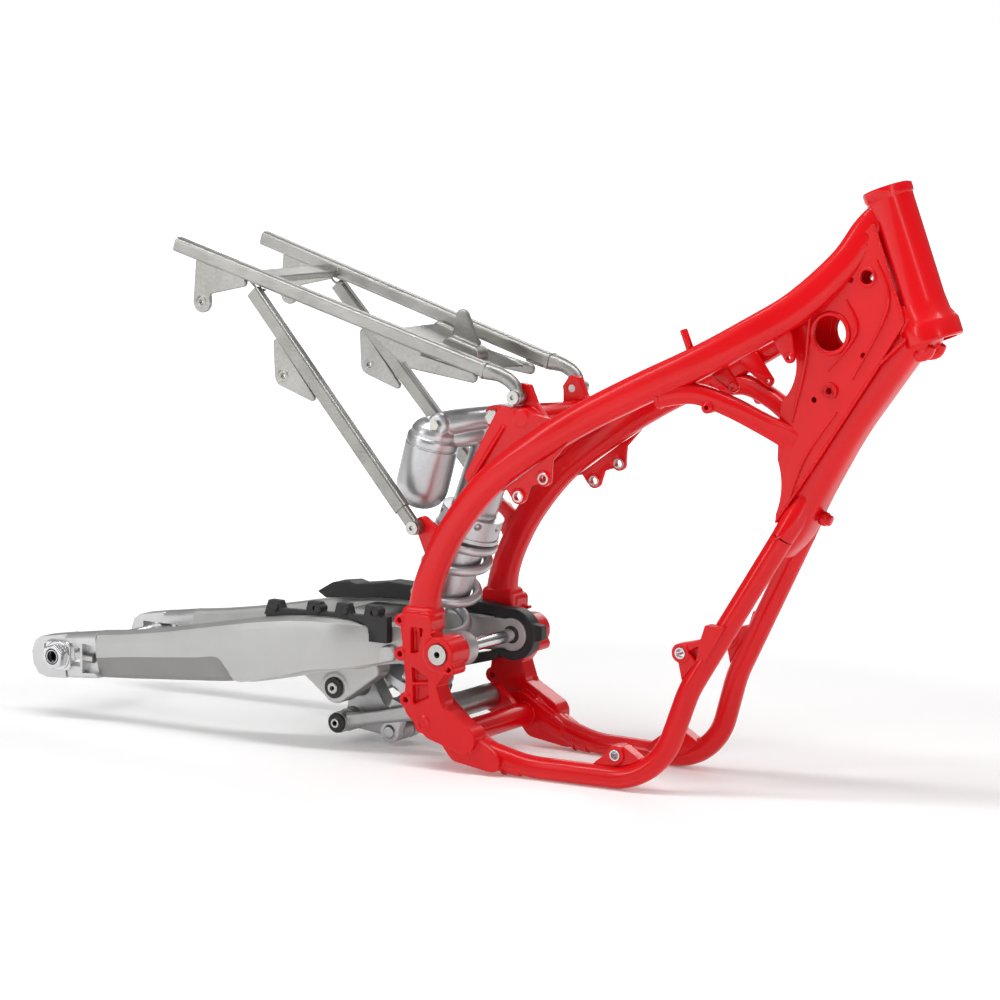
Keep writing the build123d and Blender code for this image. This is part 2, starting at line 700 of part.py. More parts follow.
def adjuster_bolts():
    bolts = []
    for side in (NEAR, FAR):
        y = side * 119.0
        shank = rod_between((-568, y, 87), (-561, y, 87), 4)
        hexagon = extrude(RegularPolygon(5.5, 6, major_radius=False), amount=6, both=True)
        head = Pos(-555, y, 87) * Rot(0, 90, 0) * hexagon
        bolts.append(shank + head)
    return group(bolts)


# ---- rear axle ----
def rear_axle():
    body = rod_y(AXLE, AXLE_R - RUNNING_FIT, -AXLE_Y + 6, AXLE_Y - 7)
    body += rod_y(AXLE, 17, AXLE_Y - 7, AXLE_Y)
    return body - rod_y(AXLE, AXLE_BORE_R, -150, 150)


def axle_nut():
    body = hex_y(AXLE, 27, -AXLE_Y, -AXLE_Y + 9) + rod_y(AXLE, 16.5, -AXLE_Y + 9, -AXLE_Y + 11.7)
    return body - rod_y(AXLE, AXLE_R, -150, 0)


def adjuster_blocks():
    """Two chain-tension blocks, each with a tongue in the arm's slot."""
    blocks = []
    x, z = AXLE
    for side in (NEAR, FAR):
        cheek = Pos(x, side * (ARM_OUTER_Y + 3.3), z) * Box(40, 6, 38)
        tongue = Pos(x, side * (ARM_OUTER_Y - 7), z) * Box(26, 15, SLOT_HEIGHT - 0.1)
        blocks.append(cheek + tongue - rod_y(AXLE, AXLE_R, -150, 150))
    return group(blocks)


# ---- linkage ----
def rocker():
    """Triangular rocker between swingarm, linkage rod and shock."""
    s, r, h = ROCKER_PIVOT, ROD_REAR, SHOCK_LOW
    outline = [(s[0] - 14, s[1] + 8), (s[0] + 14, s[1] + 12), (-150, 50), (h[0] + 6, h[1] + 12),
               (h[0] + 4, h[1] - 12), (-168, 12), (r[0] + 2, r[1] - 13), (r[0] - 13, r[1] + 2)]
    body = slab(outline, -12.5, 12.5)
    body += rod_y(s, 19, -39, 39) + rod_y(r, 15, -29, 29) + rod_y(h, 14, -12.5, 12.5)
    body -= rod_y(s, BOLT_R + 1, -60, 60)
    body -= rod_y(r, BOLT_R + 1 + LINK_SLACK, -60, 60)
    return body - rod_y(h, BOLT_R + LINK_SLACK, -60, 60)


def rocker_bolt():
    """Bolt through the swingarm clevis and the rocker, with a hollow sleeve end."""
    body = rod_y(ROCKER_PIVOT, BOLT_R + 1 - RUNNING_FIT, -75, 75)
    return body - rod_y(ROCKER_PIVOT, 3, -80, 80)


def link_rod():
    """Two-armed rod with a wide front tube and two rear eyes."""
    rear, front = ROD_REAR, ROD_FRONT
    tube = rod_y(front, 16.5, -51, 51)
    body = tube
    for side in (NEAR, FAR):
        stations = [(rear[0], 39, rear[1], 15, 20, 6), (rear[0] + 60, 40, rear[1] + 13.4, 14, 19, 6),
                    (front[0], 40, front[1], 18, 26, 7)]
        body += beam(mirrored(stations, side)) + pair(rear, 14, 30.5, 50, side)
    body -= rod_y(rear, BOLT_R + 1, -90, 90)
    return body - rod_y(front, BOLT_R + 1, -90, 90)


def rod_bolt():
    """Hollow bolt and seals at the rod's rear eyes."""
    body = rod_y(ROD_REAR, BOLT_R + 1, -57, 57)
    body += pair(ROD_REAR, 11.5, 50, 54, NEAR) + pair(ROD_REAR, 11.5, 50, 54, FAR)
    return body - rod_y(ROD_REAR, 3.5, -90, 90)


# ---- shock: distances run down the axis from the top eye ----
BODY_START, BODY_END = 26.0, 250.0
RING_START, RING_END = 134.0, 160.0
SPRING_START, SPRING_END = 166.0, 372.0
SPRING_TURNS = 5.3
SHAFT_START, SHAFT_END = 222.0, 424.0
BORE_R = 22.0


def shock_body():
    """Top eye, head casting, bridge to the reservoir and the main tube."""
    eye = rod_y(SHOCK_TOP, 14, -18, 18)
    body = eye + shock_bar(8, BODY_START + 30, 24) + shock_bar(BODY_START + 14, BODY_END, SHOCK_TUBE_R)
    bridge = [(8, 452), (-20, 444), (-62, 436), (-84, 432), (-78, 408), (-40, 404), (-4, 404)]
    body += slab(bridge, -56, -6)
    body -= rod_y(SHOCK_TOP, 40, 18.5, 60) + rod_y(SHOCK_TOP, 22, -60, -18.5)
    body -= shock_bar(64, BODY_END - 12, BORE_R)
    body -= shock_bar(BODY_END - 13, BODY_END + 1, SHAFT_R + RUNNING_FIT)
    return body - rod_y(SHOCK_TOP, BOLT_R, -60, 60)


RESERVOIR_TOP = (-55.0, 416.0)
RESERVOIR_END = (-81.0, 320.0)
RESERVOIR_Y = -44.0
RESERVOIR_R = 34.0


def reservoir():
    a = vec(RESERVOIR_TOP, RESERVOIR_Y)
    b = vec(RESERVOIR_END, RESERVOIR_Y)
    direction = (b - a).normalized()
    waist = b - direction * 26
    body = rod_between(a, waist, RESERVOIR_R)
    tip = Plane(origin=waist, z_dir=direction)
    cap = loft([tip * Circle(RESERVOIR_R), tip.offset(14) * Circle(29), tip.offset(24) * Circle(14)])
    return (body + cap) - shock_body()


def compression_adjuster():
    base = rod_y((-40, 431), 9, -62, -56.1)
    return base + hex_y((-40, 431), 12, -69, -62)


def preload_ring():
    """Threaded ring with a castellated upper half."""
    body = shock_bar(RING_START, RING_END, 41)
    body += shock_bar(RING_END, RING_END + 5, 43)
    count = 8
    for i in range(count):
        a = radians(360 / count * i)
        centre = shock_point(RING_START + 7, 42 * cos(a))
        notch = Pos(centre[0], 42 * sin(a), centre[1]) * Sphere(5)
        body -= notch
    return body - shock_bar(RING_START - 1, RING_END + 9, SHOCK_TUBE_R + RUNNING_FIT)


def spring():
    pitch = (SPRING_END - SPRING_START - 2 * SPRING_WIRE_R) / SPRING_TURNS
    height = pitch * SPRING_TURNS
    path = Helix(pitch=pitch, height=height, radius=SPRING_R - SPRING_WIRE_R)
    start = Plane(origin=path @ 0, z_dir=path % 0)
    coil = sweep(start * Circle(SPRING_WIRE_R), path=path, is_frenet=True)
    a = vec(shock_point(SPRING_START + SPRING_WIRE_R), 0)
    b = vec(shock_point(SPRING_END), 0)
    return Plane(origin=a, z_dir=b - a).location * coil


def spring_seat():
    body = shock_bar(SPRING_END + 0.3, SPRING_END + 11, 46) + shock_bar(SPRING_END + 11, SPRING_END + 22, 30)
    return body - shock_bar(SPRING_END - 1, SPRING_END + 30, SHAFT_R)


def shock_shaft():
    body = shock_bar(SHAFT_START, SHAFT_END, SHAFT_R)
    return body + shock_bar(SHAFT_START, SHAFT_START + 12, BORE_R - 0.1)


def shock_clevis():
    """Fork at the bottom of the shaft that straddles the rocker, with its bolt."""
    block = shock_bar(SPRING_END + 22.1, SHAFT_END + 2, 15)
    body = block - shock_bar(SPRING_END, SHAFT_END, SHAFT_R)
    top = shock_point(SHAFT_END - 16)
    low = SHOCK_LOW
    for side in (NEAR, FAR):
        ear = beam(mirrored([(top[0], 20.5, top[1], 12, 28, 4), (low[0], 20.5, low[1], 12, 28, 4)], side))
        body += ear + pair(low, 14.5, 14.5, 26.5, side)
        body += pair(low, 8, 26.5, 30, side)
    foot = shock_point(SHAFT_END + 1)
    bridge = beam([(top[0], 0, top[1], 30, 28, 4), (foot[0], 0, foot[1], 30, 28, 4)])
    body += bridge - shock_bar(SPRING_END, SHAFT_END, SHAFT_R)
    return body + rod_y(low, BOLT_R, -28, 28)


def build():
    parts = {
        "head_tube": head_tube(),
        "downtube": downtube(),
        "lower_cross_tube": lower_cross_tube(),
        "upper_cross_tube": upper_cross_tube(),
        "engine_bushes": engine_bushes(),
        "tank_mounts": tank_mounts(),
        "pivot_axle": pivot_axle(),
        "pivot_nut": pivot_nut(),
        "frame_bolts": frame_bolts(),
        "subframe_cross_strut": subframe_cross_strut(),
        "subframe_bracket": subframe_bracket(),
        "fender_lugs": fender_lugs(),
        "panel_lugs": panel_lugs(),
        "subframe_bolts": subframe_bolts(),
        "swingarm": swingarm(),
        "chain_slider": chain_slider(),
        "hose_guide": hose_guide(),
        "swingarm_seals": swingarm_seals(),
        "adjuster_bolts": adjuster_bolts(),
        "rear_axle": rear_axle(),
        "axle_nut": axle_nut(),
        "adjuster_blocks": adjuster_blocks(),
        "rocker": rocker(),
        "rocker_bolt": rocker_bolt(),
        "link_rod": link_rod(),
        "rod_bolt": rod_bolt(),
        "shock_body": shock_body(),
        "reservoir": reservoir(),
        "compression_adjuster": compression_adjuster(),
        "preload_ring": preload_ring(),
        "spring": spring(),
        "spring_seat": spring_seat(),
        "shock_shaft": shock_shaft(),
        "shock_clevis": shock_clevis(),
    }
    pairs = {
        "head_gusset": head_gusset,
        "backbone": backbone,
        "rear_leg": rear_leg,
        "strut": strut,
        "cradle_tube": cradle_tube,
        "pivot_casting": pivot_casting,
        "rear_web": rear_web,
        "engine_plate": engine_plate,
        "front_engine_lug": front_engine_lug,
        "lower_engine_lug": lower_engine_lug,
        "subframe_rail": subframe_rail,
        "rail_hook": rail_hook,
        "subframe_stay": subframe_stay,
        "arm_tip": arm_tip,
    }
    for name, make in pairs.items():
        parts[name + "_right"] = make(NEAR)
        parts[name + "_left"] = make(FAR)
    return parts


os.makedirs("parts", exist_ok=True)
for node, shape in build().items():
    export_step(shape.moved(Location((ORIGIN_SHIFT, 0, 0))), f"parts/{node}.step")
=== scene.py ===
"""Looks of the off-road motorcycle chassis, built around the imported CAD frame.

Places are in millimetres, counted from below the swingarm pivot, as x forwards, y left, z up.
"""
import json
from math import cos, pi, radians, sin, sqrt

import bmesh
import bpy
from mathutils import Matrix, Vector


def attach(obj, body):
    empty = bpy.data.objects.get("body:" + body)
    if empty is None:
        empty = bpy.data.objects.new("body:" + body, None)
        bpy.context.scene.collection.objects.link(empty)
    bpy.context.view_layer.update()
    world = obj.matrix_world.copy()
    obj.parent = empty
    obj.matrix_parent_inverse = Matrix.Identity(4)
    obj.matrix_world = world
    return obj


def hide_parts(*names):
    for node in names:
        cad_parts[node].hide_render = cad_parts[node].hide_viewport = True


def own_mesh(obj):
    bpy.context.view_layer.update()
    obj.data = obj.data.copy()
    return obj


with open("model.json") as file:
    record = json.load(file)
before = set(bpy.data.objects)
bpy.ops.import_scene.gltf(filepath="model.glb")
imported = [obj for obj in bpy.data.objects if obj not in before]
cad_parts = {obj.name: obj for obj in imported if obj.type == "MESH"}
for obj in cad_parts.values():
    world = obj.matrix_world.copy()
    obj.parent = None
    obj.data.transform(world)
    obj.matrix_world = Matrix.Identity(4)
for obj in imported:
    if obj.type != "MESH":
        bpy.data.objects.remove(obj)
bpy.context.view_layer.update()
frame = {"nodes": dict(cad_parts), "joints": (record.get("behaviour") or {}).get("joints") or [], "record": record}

MM = 0.001
PIVOT_Z = 149.0
RIGHT, LEFT = -1.0, 1.0
SIDES = {"right": RIGHT, "left": LEFT}

# Side-view places (x, z) that several pieces share
UPPER_CROSS, LOWER_CROSS = (98, 450), (8, 42)
HOOK_BOLT = (87, 475)

JOINTS = {j["name"]: j for j in frame["joints"]}
ORIGIN = Vector(JOINTS["swingarm_pivot"]["pos_m"]) - Vector((0, 0, PIVOT_Z * MM))


def at(x, y, z):
    """A place in metres in the frame, from millimetres."""
    return ORIGIN + Vector((x, y, z)) * MM


# ---- mesh tools ----
def new_object(name, mesh, material, body, smooth=40.0):
    """A piece from a mesh; without a material it keeps the mesh's own."""
    piece = bpy.data.objects.new(name, mesh)
    bpy.context.scene.collection.objects.link(piece)
    if material:
        mesh.materials.clear()
        mesh.materials.append(material)
    for polygon in mesh.polygons:
        polygon.use_smooth = True
    if smooth:
        mesh.set_sharp_from_angle(angle=radians(smooth))
    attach(piece, body)
    return piece


def join_meshes(meshes):
    """One mesh from several, in the same place."""
    bm = bmesh.new()
    for mesh in meshes:
        bm.from_mesh(mesh)
    joined = bpy.data.meshes.new("joined")
    bm.to_mesh(joined)
    bm.free()
    return joined


def mesh_from(vertices, faces):
    mesh = bpy.data.meshes.new("mesh")
    mesh.from_pydata(vertices, [], faces)
    bm = bmesh.new()
    bm.from_mesh(mesh)
    bmesh.ops.recalc_face_normals(bm, faces=bm.faces)
    bm.to_mesh(mesh)
    bm.free()
    return mesh


def skin(rings):
    """Closed mesh over a row of rings, each with the same number of points."""
    count = len(rings[0])
    vertices = [p for ring in rings for p in ring]
    faces = []
    for i in range(len(rings) - 1):
        for j in range(count):
            a, b = i * count + j, i * count + (j + 1) % count
            faces.append((a, b, b + count, a + count))
    faces.append(tuple(range(count)))
    faces.append(tuple(range(len(vertices) - count, len(vertices))))
    return mesh_from(vertices, faces)


def curve_value(p0, p1, p2, p3, t):
    """Catmull-Rom value between p1 and p2."""
    return 0.5 * (2 * p1 + (p2 - p0) * t + (2 * p0 - 5 * p1 + 4 * p2 - p3) * t * t
                  + (3 * p1 - p0 - 3 * p2 + p3) * t ** 3)


def smooth_stations(stations, steps):
    """More stations on a smooth curve through the given ones."""
    last = len(stations) - 1
    result = []
    for i in range(last):
        rows = [stations[max(i - 1, 0)], stations[i], stations[i + 1], stations[min(i + 2, last)]]
        for k in range(steps):
            result.append([curve_value(*column, k / steps) for column in zip(*rows)])
    result.append(list(stations[last]))
    return result


def signed_power(value, power):
    return abs(value) ** power if value >= 0 else -abs(value) ** power


def loft(stations, steps=8, count=40):
    """Smooth tube through stations of (x, y, z, width, height, squareness)."""
    rows = smooth_stations(stations, steps)
    rings = []
    for i, (x, y, z, width, height, square) in enumerate(rows):
        ahead = Vector(rows[min(i + 1, len(rows) - 1)][:3]) - Vector(rows[max(i - 1, 0)][:3])
        ahead.normalize()
        side = (Vector((0, 1, 0)) - ahead * ahead.y).normalized()
        up = ahead.cross(side)
        ring = []
        for j in range(count):
            a = 2 * pi * (j + 0.5) / count
            u = width / 2 * signed_power(cos(a), 2 / square)
            v = height / 2 * signed_power(sin(a), 2 / square)
            ring.append(at(x, y, z) + (side * u + up * v) * MM)
        rings.append(ring)
    return skin(rings)


def lathe(profile, start, direction, count=64):
    """Turned shape: profile is a closed loop of (distance, radius) along the direction."""
    axis = Vector(direction).normalized()
    side = axis.orthogonal().normalized()
    up = axis.cross(side)
    rings = []
    for distance, radius in profile:
        centre = at(*start) + axis * distance * MM
        ring = []
        for j in range(count):
            a = 2 * pi * j / count
            ring.append(centre + (side * cos(a) + up * sin(a)) * radius * MM)
        rings.append(ring)
    vertices = [p for ring in rings for p in ring]
    faces = []
    for i in range(len(rings)):
        for j in range(count):
            a, b = i * count + j, i * count + (j + 1) % count
            c, d = ((i + 1) % len(rings)) * count + (j + 1) % count, ((i + 1) % len(rings)) * count + j
            faces.append((a, b, c, d))
    return mesh_from(vertices, faces)


def rod(start, end, radius, edge=0.8, count=40):
    """Round bar with rounded end edges."""
    length = (Vector(end) - Vector(start)).length
    tiny = 0.01
    profile = [(0, tiny), (0, radius - edge), (edge * 0.3, radius - edge * 0.3), (edge, radius),
               (length - edge, radius), (length - edge * 0.3, radius - edge * 0.3), (length, radius - edge),
               (length, tiny)]
    return lathe(profile, start, Vector(end) - Vector(start), count)


def tube(start, end, outer, inner, edge=0.6, count=48):
    """Round sleeve with rounded end edges."""
    length = (Vector(end) - Vector(start)).length
    profile = [(0, inner), (0, outer - edge), (edge, outer), (length - edge, outer), (length, outer - edge),
               (length, inner)]
    return lathe(profile, start, Vector(end) - Vector(start), count)


def rounded_outline(points, radius, steps=5):
    """The closed outline with every corner turned into an arc."""
    result = []
    count = len(points)
    for i in range(count):
        corner = Vector(points[i])
        before, after = Vector(points[i - 1]) - corner, Vector(points[(i + 1) % count]) - corner
        cut = min(radius, before.length * 0.45, after.length * 0.45)
        a, b = corner + before.normalized() * cut, corner + after.normalized() * cut
        for k in range(steps + 1):
            t = k / steps
            result.append(a * (1 - t) ** 2 + corner * 2 * t * (1 - t) + b * t * t)
    return result


def circle(centre, radius, count=28):
    return [Vector((centre[0] + radius * cos(2 * pi * k / count),
                    centre[1] + radius * sin(2 * pi * k / count)))
            for k in range(count)]


def plate(outline, y_low, y_high, holes=(), corner=4.0, edge=0.8):
    """Flat plate standing in the side view, with rounded corners, edges and round holes."""
    curve = bpy.data.curves.new("plate", "CURVE")
    curve.dimensions = "2D"
    curve.fill_mode = "BOTH"
    curve.extrude = (y_high - y_low) / 2 * MM - edge * MM
    curve.bevel_depth = edge * MM
    curve.offset = -edge * MM
    curve.bevel_resolution = 2
    loops = [rounded_outline(outline, corner)] + [circle((x, z), r) for x, z, r in holes]
    for loop in loops:
        spline = curve.splines.new("POLY")
        spline.points.add(len(loop) - 1)
        spline.use_cyclic_u = True
        for point, place in zip(spline.points, loop):
            point.co = (place[0] * MM, place[1] * MM, 0, 1)
    holder = bpy.data.objects.new("plate", curve)
    mesh = bpy.data.meshes.new_from_object(holder)
    bpy.data.objects.remove(holder)
    shift = Matrix.Translation(at(0, (y_low + y_high) / 2, 0))
    mesh.transform(shift @ Matrix.Rotation(radians(90), 4, "X"))
    bm = bmesh.new()
    bm.from_mesh(mesh)
    bmesh.ops.remove_doubles(bm, verts=bm.verts, dist=1e-6)
    bmesh.ops.recalc_face_normals(bm, faces=bm.faces)
    bm.to_mesh(mesh)
    bm.free()
    return mesh


def belt(*rounds, steps=32):
    """Outline of a belt stretched round circles, each (x, z, radius)."""
    points = sorted(
        (x + radius * cos(2 * pi * k / steps), z + radius * sin(2 * pi * k / steps))
        for x, z, radius in rounds for k in range(steps)
    )

    def chain(ordered):
        kept = []
        for point in ordered:
            while len(kept) > 1:
                (x0, z0), (x1, z1) = kept[-2:]
                if (x1 - x0) * (point[1] - z0) - (z1 - z0) * (point[0] - x0) > 0:
                    break
                kept.pop()
            kept.append(point)
        return kept[:-1]

    return chain(points) + chain(points[::-1])


def side_plate(outline, y_in, y_out, side, **options):
    low, high = sorted((side * y_in, side * y_out))
    return plate(outline, low, high, **options)


def tessellated(points, step):
    """Points along a polyline, evenly spaced."""
    result = []
    for a, b in zip(points, points[1:]):
        a, b = Vector(a), Vector(b)
        count = max(int((b - a).length / step), 1)
        result += [a.lerp(b, k / count) for k in range(count)]
    return result + [Vector(points[-1])]


def weld(points, radius=2.3, ripple=3.2):
    """Weld bead with its row of ripples along a path of places."""
    path = tessellated(points, ripple / 4)
    rings = []
    for i, place in enumerate(path):
        ahead = (path[min(i + 1, len(path) - 1)] - path[max(i - 1, 0)]).normalized()
        side = ahead.orthogonal().normalized()
        up = ahead.cross(side)
        size = radius * (0.86 + 0.14 * cos(2 * pi * i / 4))
        taper = min(1.0, (i + 1) / 4, (len(path) - i) / 4)
        ring = []
        for j in range(10):
            a = 2 * pi * j / 10
            ring.append(at(*place) + (side * cos(a) + up * sin(a)) * size * taper * MM)
        rings.append(ring)
    return skin(rings)


def ring_path(centre, normal, radius_a, radius_b=None, count=40):
    """Places on a ring round a centre; the first radius is along the chassis's Y as far as it can be."""
    normal = Vector(normal).normalized()
    side = Vector((0, 1, 0)) - normal * normal.y
    side = side.normalized() if side.length > 0.1 else normal.orthogonal().normalized()
    up = normal.cross(side)
    radius_b = radius_a if radius_b is None else radius_b
    places = []
    for k in range(count + 1):
        a = 2 * pi * k / count
        places.append(Vector(centre) + side * radius_a * cos(a) + up * radius_b * sin(a))
    return places


def evaluated(piece):
    """The piece's mesh with its modifiers applied."""
    graph = bpy.context.evaluated_depsgraph_get()
    graph.update()
    return bpy.data.meshes.new_from_object(piece.evaluated_get(graph))


def cast_mesh(meshes, voxel=1.0, rounds=6, keep=0.5):
    """Meshes melted into one shape with rounded edges, as a casting has."""
    holder = bpy.data.objects.new("cast", join_meshes(meshes))
    bpy.context.scene.collection.objects.link(holder)
    remesh = holder.modifiers.new("remesh", "REMESH")
    remesh.mode = "VOXEL"
    remesh.voxel_size = voxel * MM
    smooth = holder.modifiers.new("smooth", "SMOOTH")
    smooth.factor = 0.5
    smooth.iterations = rounds
    decimate = holder.modifiers.new("decimate", "DECIMATE")
    decimate.ratio = keep
    mesh = evaluated(holder)
    bpy.data.objects.remove(holder)
    return mesh


def cad_mesh(node):
    return frame["nodes"][node].data.copy()


def cast_node(node, material, body, extras=(), voxel=1.0, rounds=6, keep=0.5):
    """A rounded, cast version of a CAD node that stands in for it."""
    mesh = cast_mesh([cad_mesh(node), *extras], voxel, rounds, keep)
    piece = new_object(node + "_cast", mesh, material, body, smooth=None)
    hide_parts(node)
    return piece


# ---- materials ----
def link(tree, source, target):
    tree.links.new(source, target)


def base_material(name):
    material = bpy.data.materials.new(name)
    material.use_nodes = True
    tree = material.node_tree
    shader = tree.nodes["Principled BSDF"]
    place = tree.nodes.new("ShaderNodeTexCoord").outputs["Object"]
    return material, tree, shader, place


def noise(tree, place, scale, detail=3.0, stretch=(1, 1, 1), tilt=0.0):
    mapping = tree.nodes.new("ShaderNodeMapping")
    mapping.inputs["Scale"].default_value = stretch
    mapping.inputs["Rotation"].default_value = (0, tilt, 0)
    link(tree, place, mapping.inputs["Vector"])
    node = tree.nodes.new("ShaderNodeTexNoise")
    node.inputs["Scale"].default_value = scale
    node.inputs["Detail"].default_value = detail
    link(tree, mapping.outputs["Vector"], node.inputs["Vector"])
    return node.outputs["Fac"]


def ramp(tree, value, low, high, start=0.3, end=0.7):
    node = tree.nodes.new("ShaderNodeMapRange")
    node.inputs["From Min"].default_value = start
    node.inputs["From Max"].default_value = end
    node.inputs["To Min"].default_value = low
    node.inputs["To Max"].default_value = high
    link(tree, value, node.inputs["Value"])
    return node.outputs["Result"]


def tint(tree, value, dark, light, start=0.3, end=0.7):
    node = tree.nodes.new("ShaderNodeValToRGB")
    node.color_ramp.elements[0].position = start
    node.color_ramp.elements[0].color = (*dark, 1)
    node.color_ramp.elements[1].position = end
    node.color_ramp.elements[1].color = (*light, 1)
    link(tree, value, node.inputs["Fac"])
    return node.outputs["Color"]


def bump(tree, shader, value, strength, distance, edge=0.6):
    """Surface relief over softly rounded edges; the edge radius is in millimetres."""
    rounded = tree.nodes.new("ShaderNodeBevel")
    rounded.samples = 4
    rounded.inputs["Radius"].default_value = edge * MM
    node = tree.nodes.new("ShaderNodeBump")
    node.inputs["Strength"].default_value = strength
    node.inputs["Distance"].default_value = distance
    link(tree, value, node.inputs["Height"])
    link(tree, rounded.outputs["Normal"], node.inputs["Normal"])
    link(tree, node.outputs["Normal"], shader.inputs["Normal"])


def enamel():
    """Gloss red paint with a faint orange peel and a little unevenness."""
    material, tree, shader, place = base_material("red_enamel")
    peel = noise(tree, place, 260.0, 2.0)
    cloud = noise(tree, place, 9.0, 2.0)
    link(tree, tint(tree, cloud, (0.62, 0.0003, 0.003), (0.76, 0.0008, 0.005), 0.0, 1.0),
         shader.inputs["Base Color"])
    link(tree, ramp(tree, cloud, 0.24, 0.34, 0.0, 1.0), shader.inputs["Roughness"])
    bump(tree, shader, peel, 0.08, 0.0003, 0.8)
    shader.inputs["Specular IOR Level"].default_value = 0.25
    shader.inputs["Coat Weight"].default_value = 0.2
    shader.inputs["Coat Roughness"].default_value = 0.05
    return material


def metal(name, dark, light, rough, grain, stretch=(1, 1, 1), tilt=0.0, relief=0.12):
    """Bare metal: rough is (low, high), grain the scale of its streaks or sand."""
    material, tree, shader, place = base_material(name)
    streaks = noise(tree, place, grain, 4.0, stretch, tilt)
    cloud = noise(tree, place, 22.0, 5.0)
    mixed = tree.nodes.new("ShaderNodeMath")
    mixed.operation = "MULTIPLY_ADD"
    mixed.inputs[1].default_value = 0.5
    link(tree, streaks, mixed.inputs[0])
    half = ramp(tree, cloud, 0.1, 0.4)
    link(tree, half, mixed.inputs[2])
    link(tree, tint(tree, mixed.outputs[0], dark, light, 0.2, 0.85), shader.inputs["Base Color"])
    link(tree, ramp(tree, mixed.outputs[0], *rough, 0.2, 0.85), shader.inputs["Roughness"])
    bump(tree, shader, streaks, relief, 0.0003)
    shader.inputs["Metallic"].default_value = 1.0
    return material


def polymer(name, dark, light, rough, grain=900.0, relief=0.25):
    material, tree, shader, place = base_material(name)
    sand = noise(tree, place, grain, 2.0)
    cloud = noise(tree, place, 30.0, 4.0)
    link(tree, tint(tree, cloud, dark, light), shader.inputs["Base Color"])
    link(tree, ramp(tree, cloud, *rough), shader.inputs["Roughness"])
    bump(tree, shader, sand, relief, 0.0003)
    return material


RED = enamel()
STREAK = (0.06, 1, 1)
RAIL_METAL = metal("brushed_rail", (0.24, 0.235, 0.22), (0.50, 0.49, 0.47), (0.34, 0.50), 900.0, STREAK,
                   radians(17))
STAY_METAL = metal("brushed_stay", (0.22, 0.215, 0.20), (0.46, 0.45, 0.43), (0.34, 0.50), 900.0, STREAK,
                   radians(-48))
PLATE_METAL = metal("rough_sheet", (0.26, 0.255, 0.24), (0.52, 0.51, 0.49), (0.34, 0.52), 240.0)
CAST_METAL = metal("satin_cast", (0.50, 0.50, 0.49), (0.60, 0.60, 0.59), (0.46, 0.56), 1400.0, relief=0.16)
# Darker copy of the satin cast metal: painted shade for the swingarm's undercut facet
CAST_PAINTED_SHADE = metal("satin_cast_painted_shade", (0.27, 0.265, 0.26), (0.36, 0.355, 0.35), (0.46, 0.58), 1400.0,
                  relief=0.16)
TIP_METAL = metal("milled_tip", (0.56, 0.56, 0.56), (0.70, 0.70, 0.70), (0.30, 0.42), 500.0)
MILLED_METAL = metal("milled", (0.60, 0.60, 0.61), (0.78, 0.78, 0.79), (0.18, 0.30), 500.0, (1, 0.1, 1))
FORGED_METAL = metal("forged", (0.34, 0.34, 0.34), (0.54, 0.54, 0.54), (0.32, 0.46), 420.0)
SHOCK_METAL = metal("shock_satin", (0.46, 0.46, 0.47), (0.62, 0.62, 0.63), (0.30, 0.42), 320.0)
ZINC = metal("zinc", (0.40, 0.39, 0.37), (0.62, 0.61, 0.58), (0.24, 0.38), 500.0)
CHROME = metal("chrome", (0.74, 0.74, 0.76), (0.86, 0.86, 0.87), (0.05, 0.10), 300.0, relief=0.02)
SPRING_COAT = metal("spring_coat", (0.52, 0.52, 0.53), (0.62, 0.62, 0.63), (0.40, 0.50), 500.0)
BLACK = polymer("black_plastic", (0.010, 0.010, 0.011), (0.022, 0.022, 0.024), (0.42, 0.60))
RUBBER = polymer("seal_rubber", (0.012, 0.012, 0.012), (0.03, 0.03, 0.03), (0.5, 0.7))
DEFAULTS = {
    "frame_paint": RED, "raw_aluminium": RAIL_METAL, "swingarm_aluminium": CAST_METAL,
    "linkage_aluminium": FORGED_METAL, "shock_aluminium": SHOCK_METAL, "plated_steel": ZINC,
    "spring_coat": SPRING_COAT, "shaft_chrome": CHROME, "black_plastic": BLACK, "seal_rubber": RUBBER,
}
SLOTS = {part["node"]: part["material_slot"] for part in frame["record"]["subparts"]}


def dress_cad():
    """Every CAD node gets its slot's material."""
    special = {
        "subframe_stay_right": STAY_METAL, "subframe_stay_left": STAY_METAL, "rear_axle": MILLED_METAL,
        "arm_tip_right": TIP_METAL, "arm_tip_left": TIP_METAL, "adjuster_blocks": MILLED_METAL,
        "engine_bushes": MILLED_METAL, "pivot_axle": MILLED_METAL,
    }
    for name, node in frame["nodes"].items():
        node.data.materials.clear()
        node.data.materials.append(special.get(name, DEFAULTS[SLOTS[name]]))
        for polygon in node.data.polygons:
            polygon.use_smooth = True
        node.data.set_sharp_from_angle(angle=radians(30))


dress_cad()


# ---- frame ----
HEAD_TOP = (546.0, 0.0, 742.0)
HEAD_ANGLE = radians(20.5)
HEAD_DOWN = Vector((sin(HEAD_ANGLE), 0, -cos(HEAD_ANGLE)))

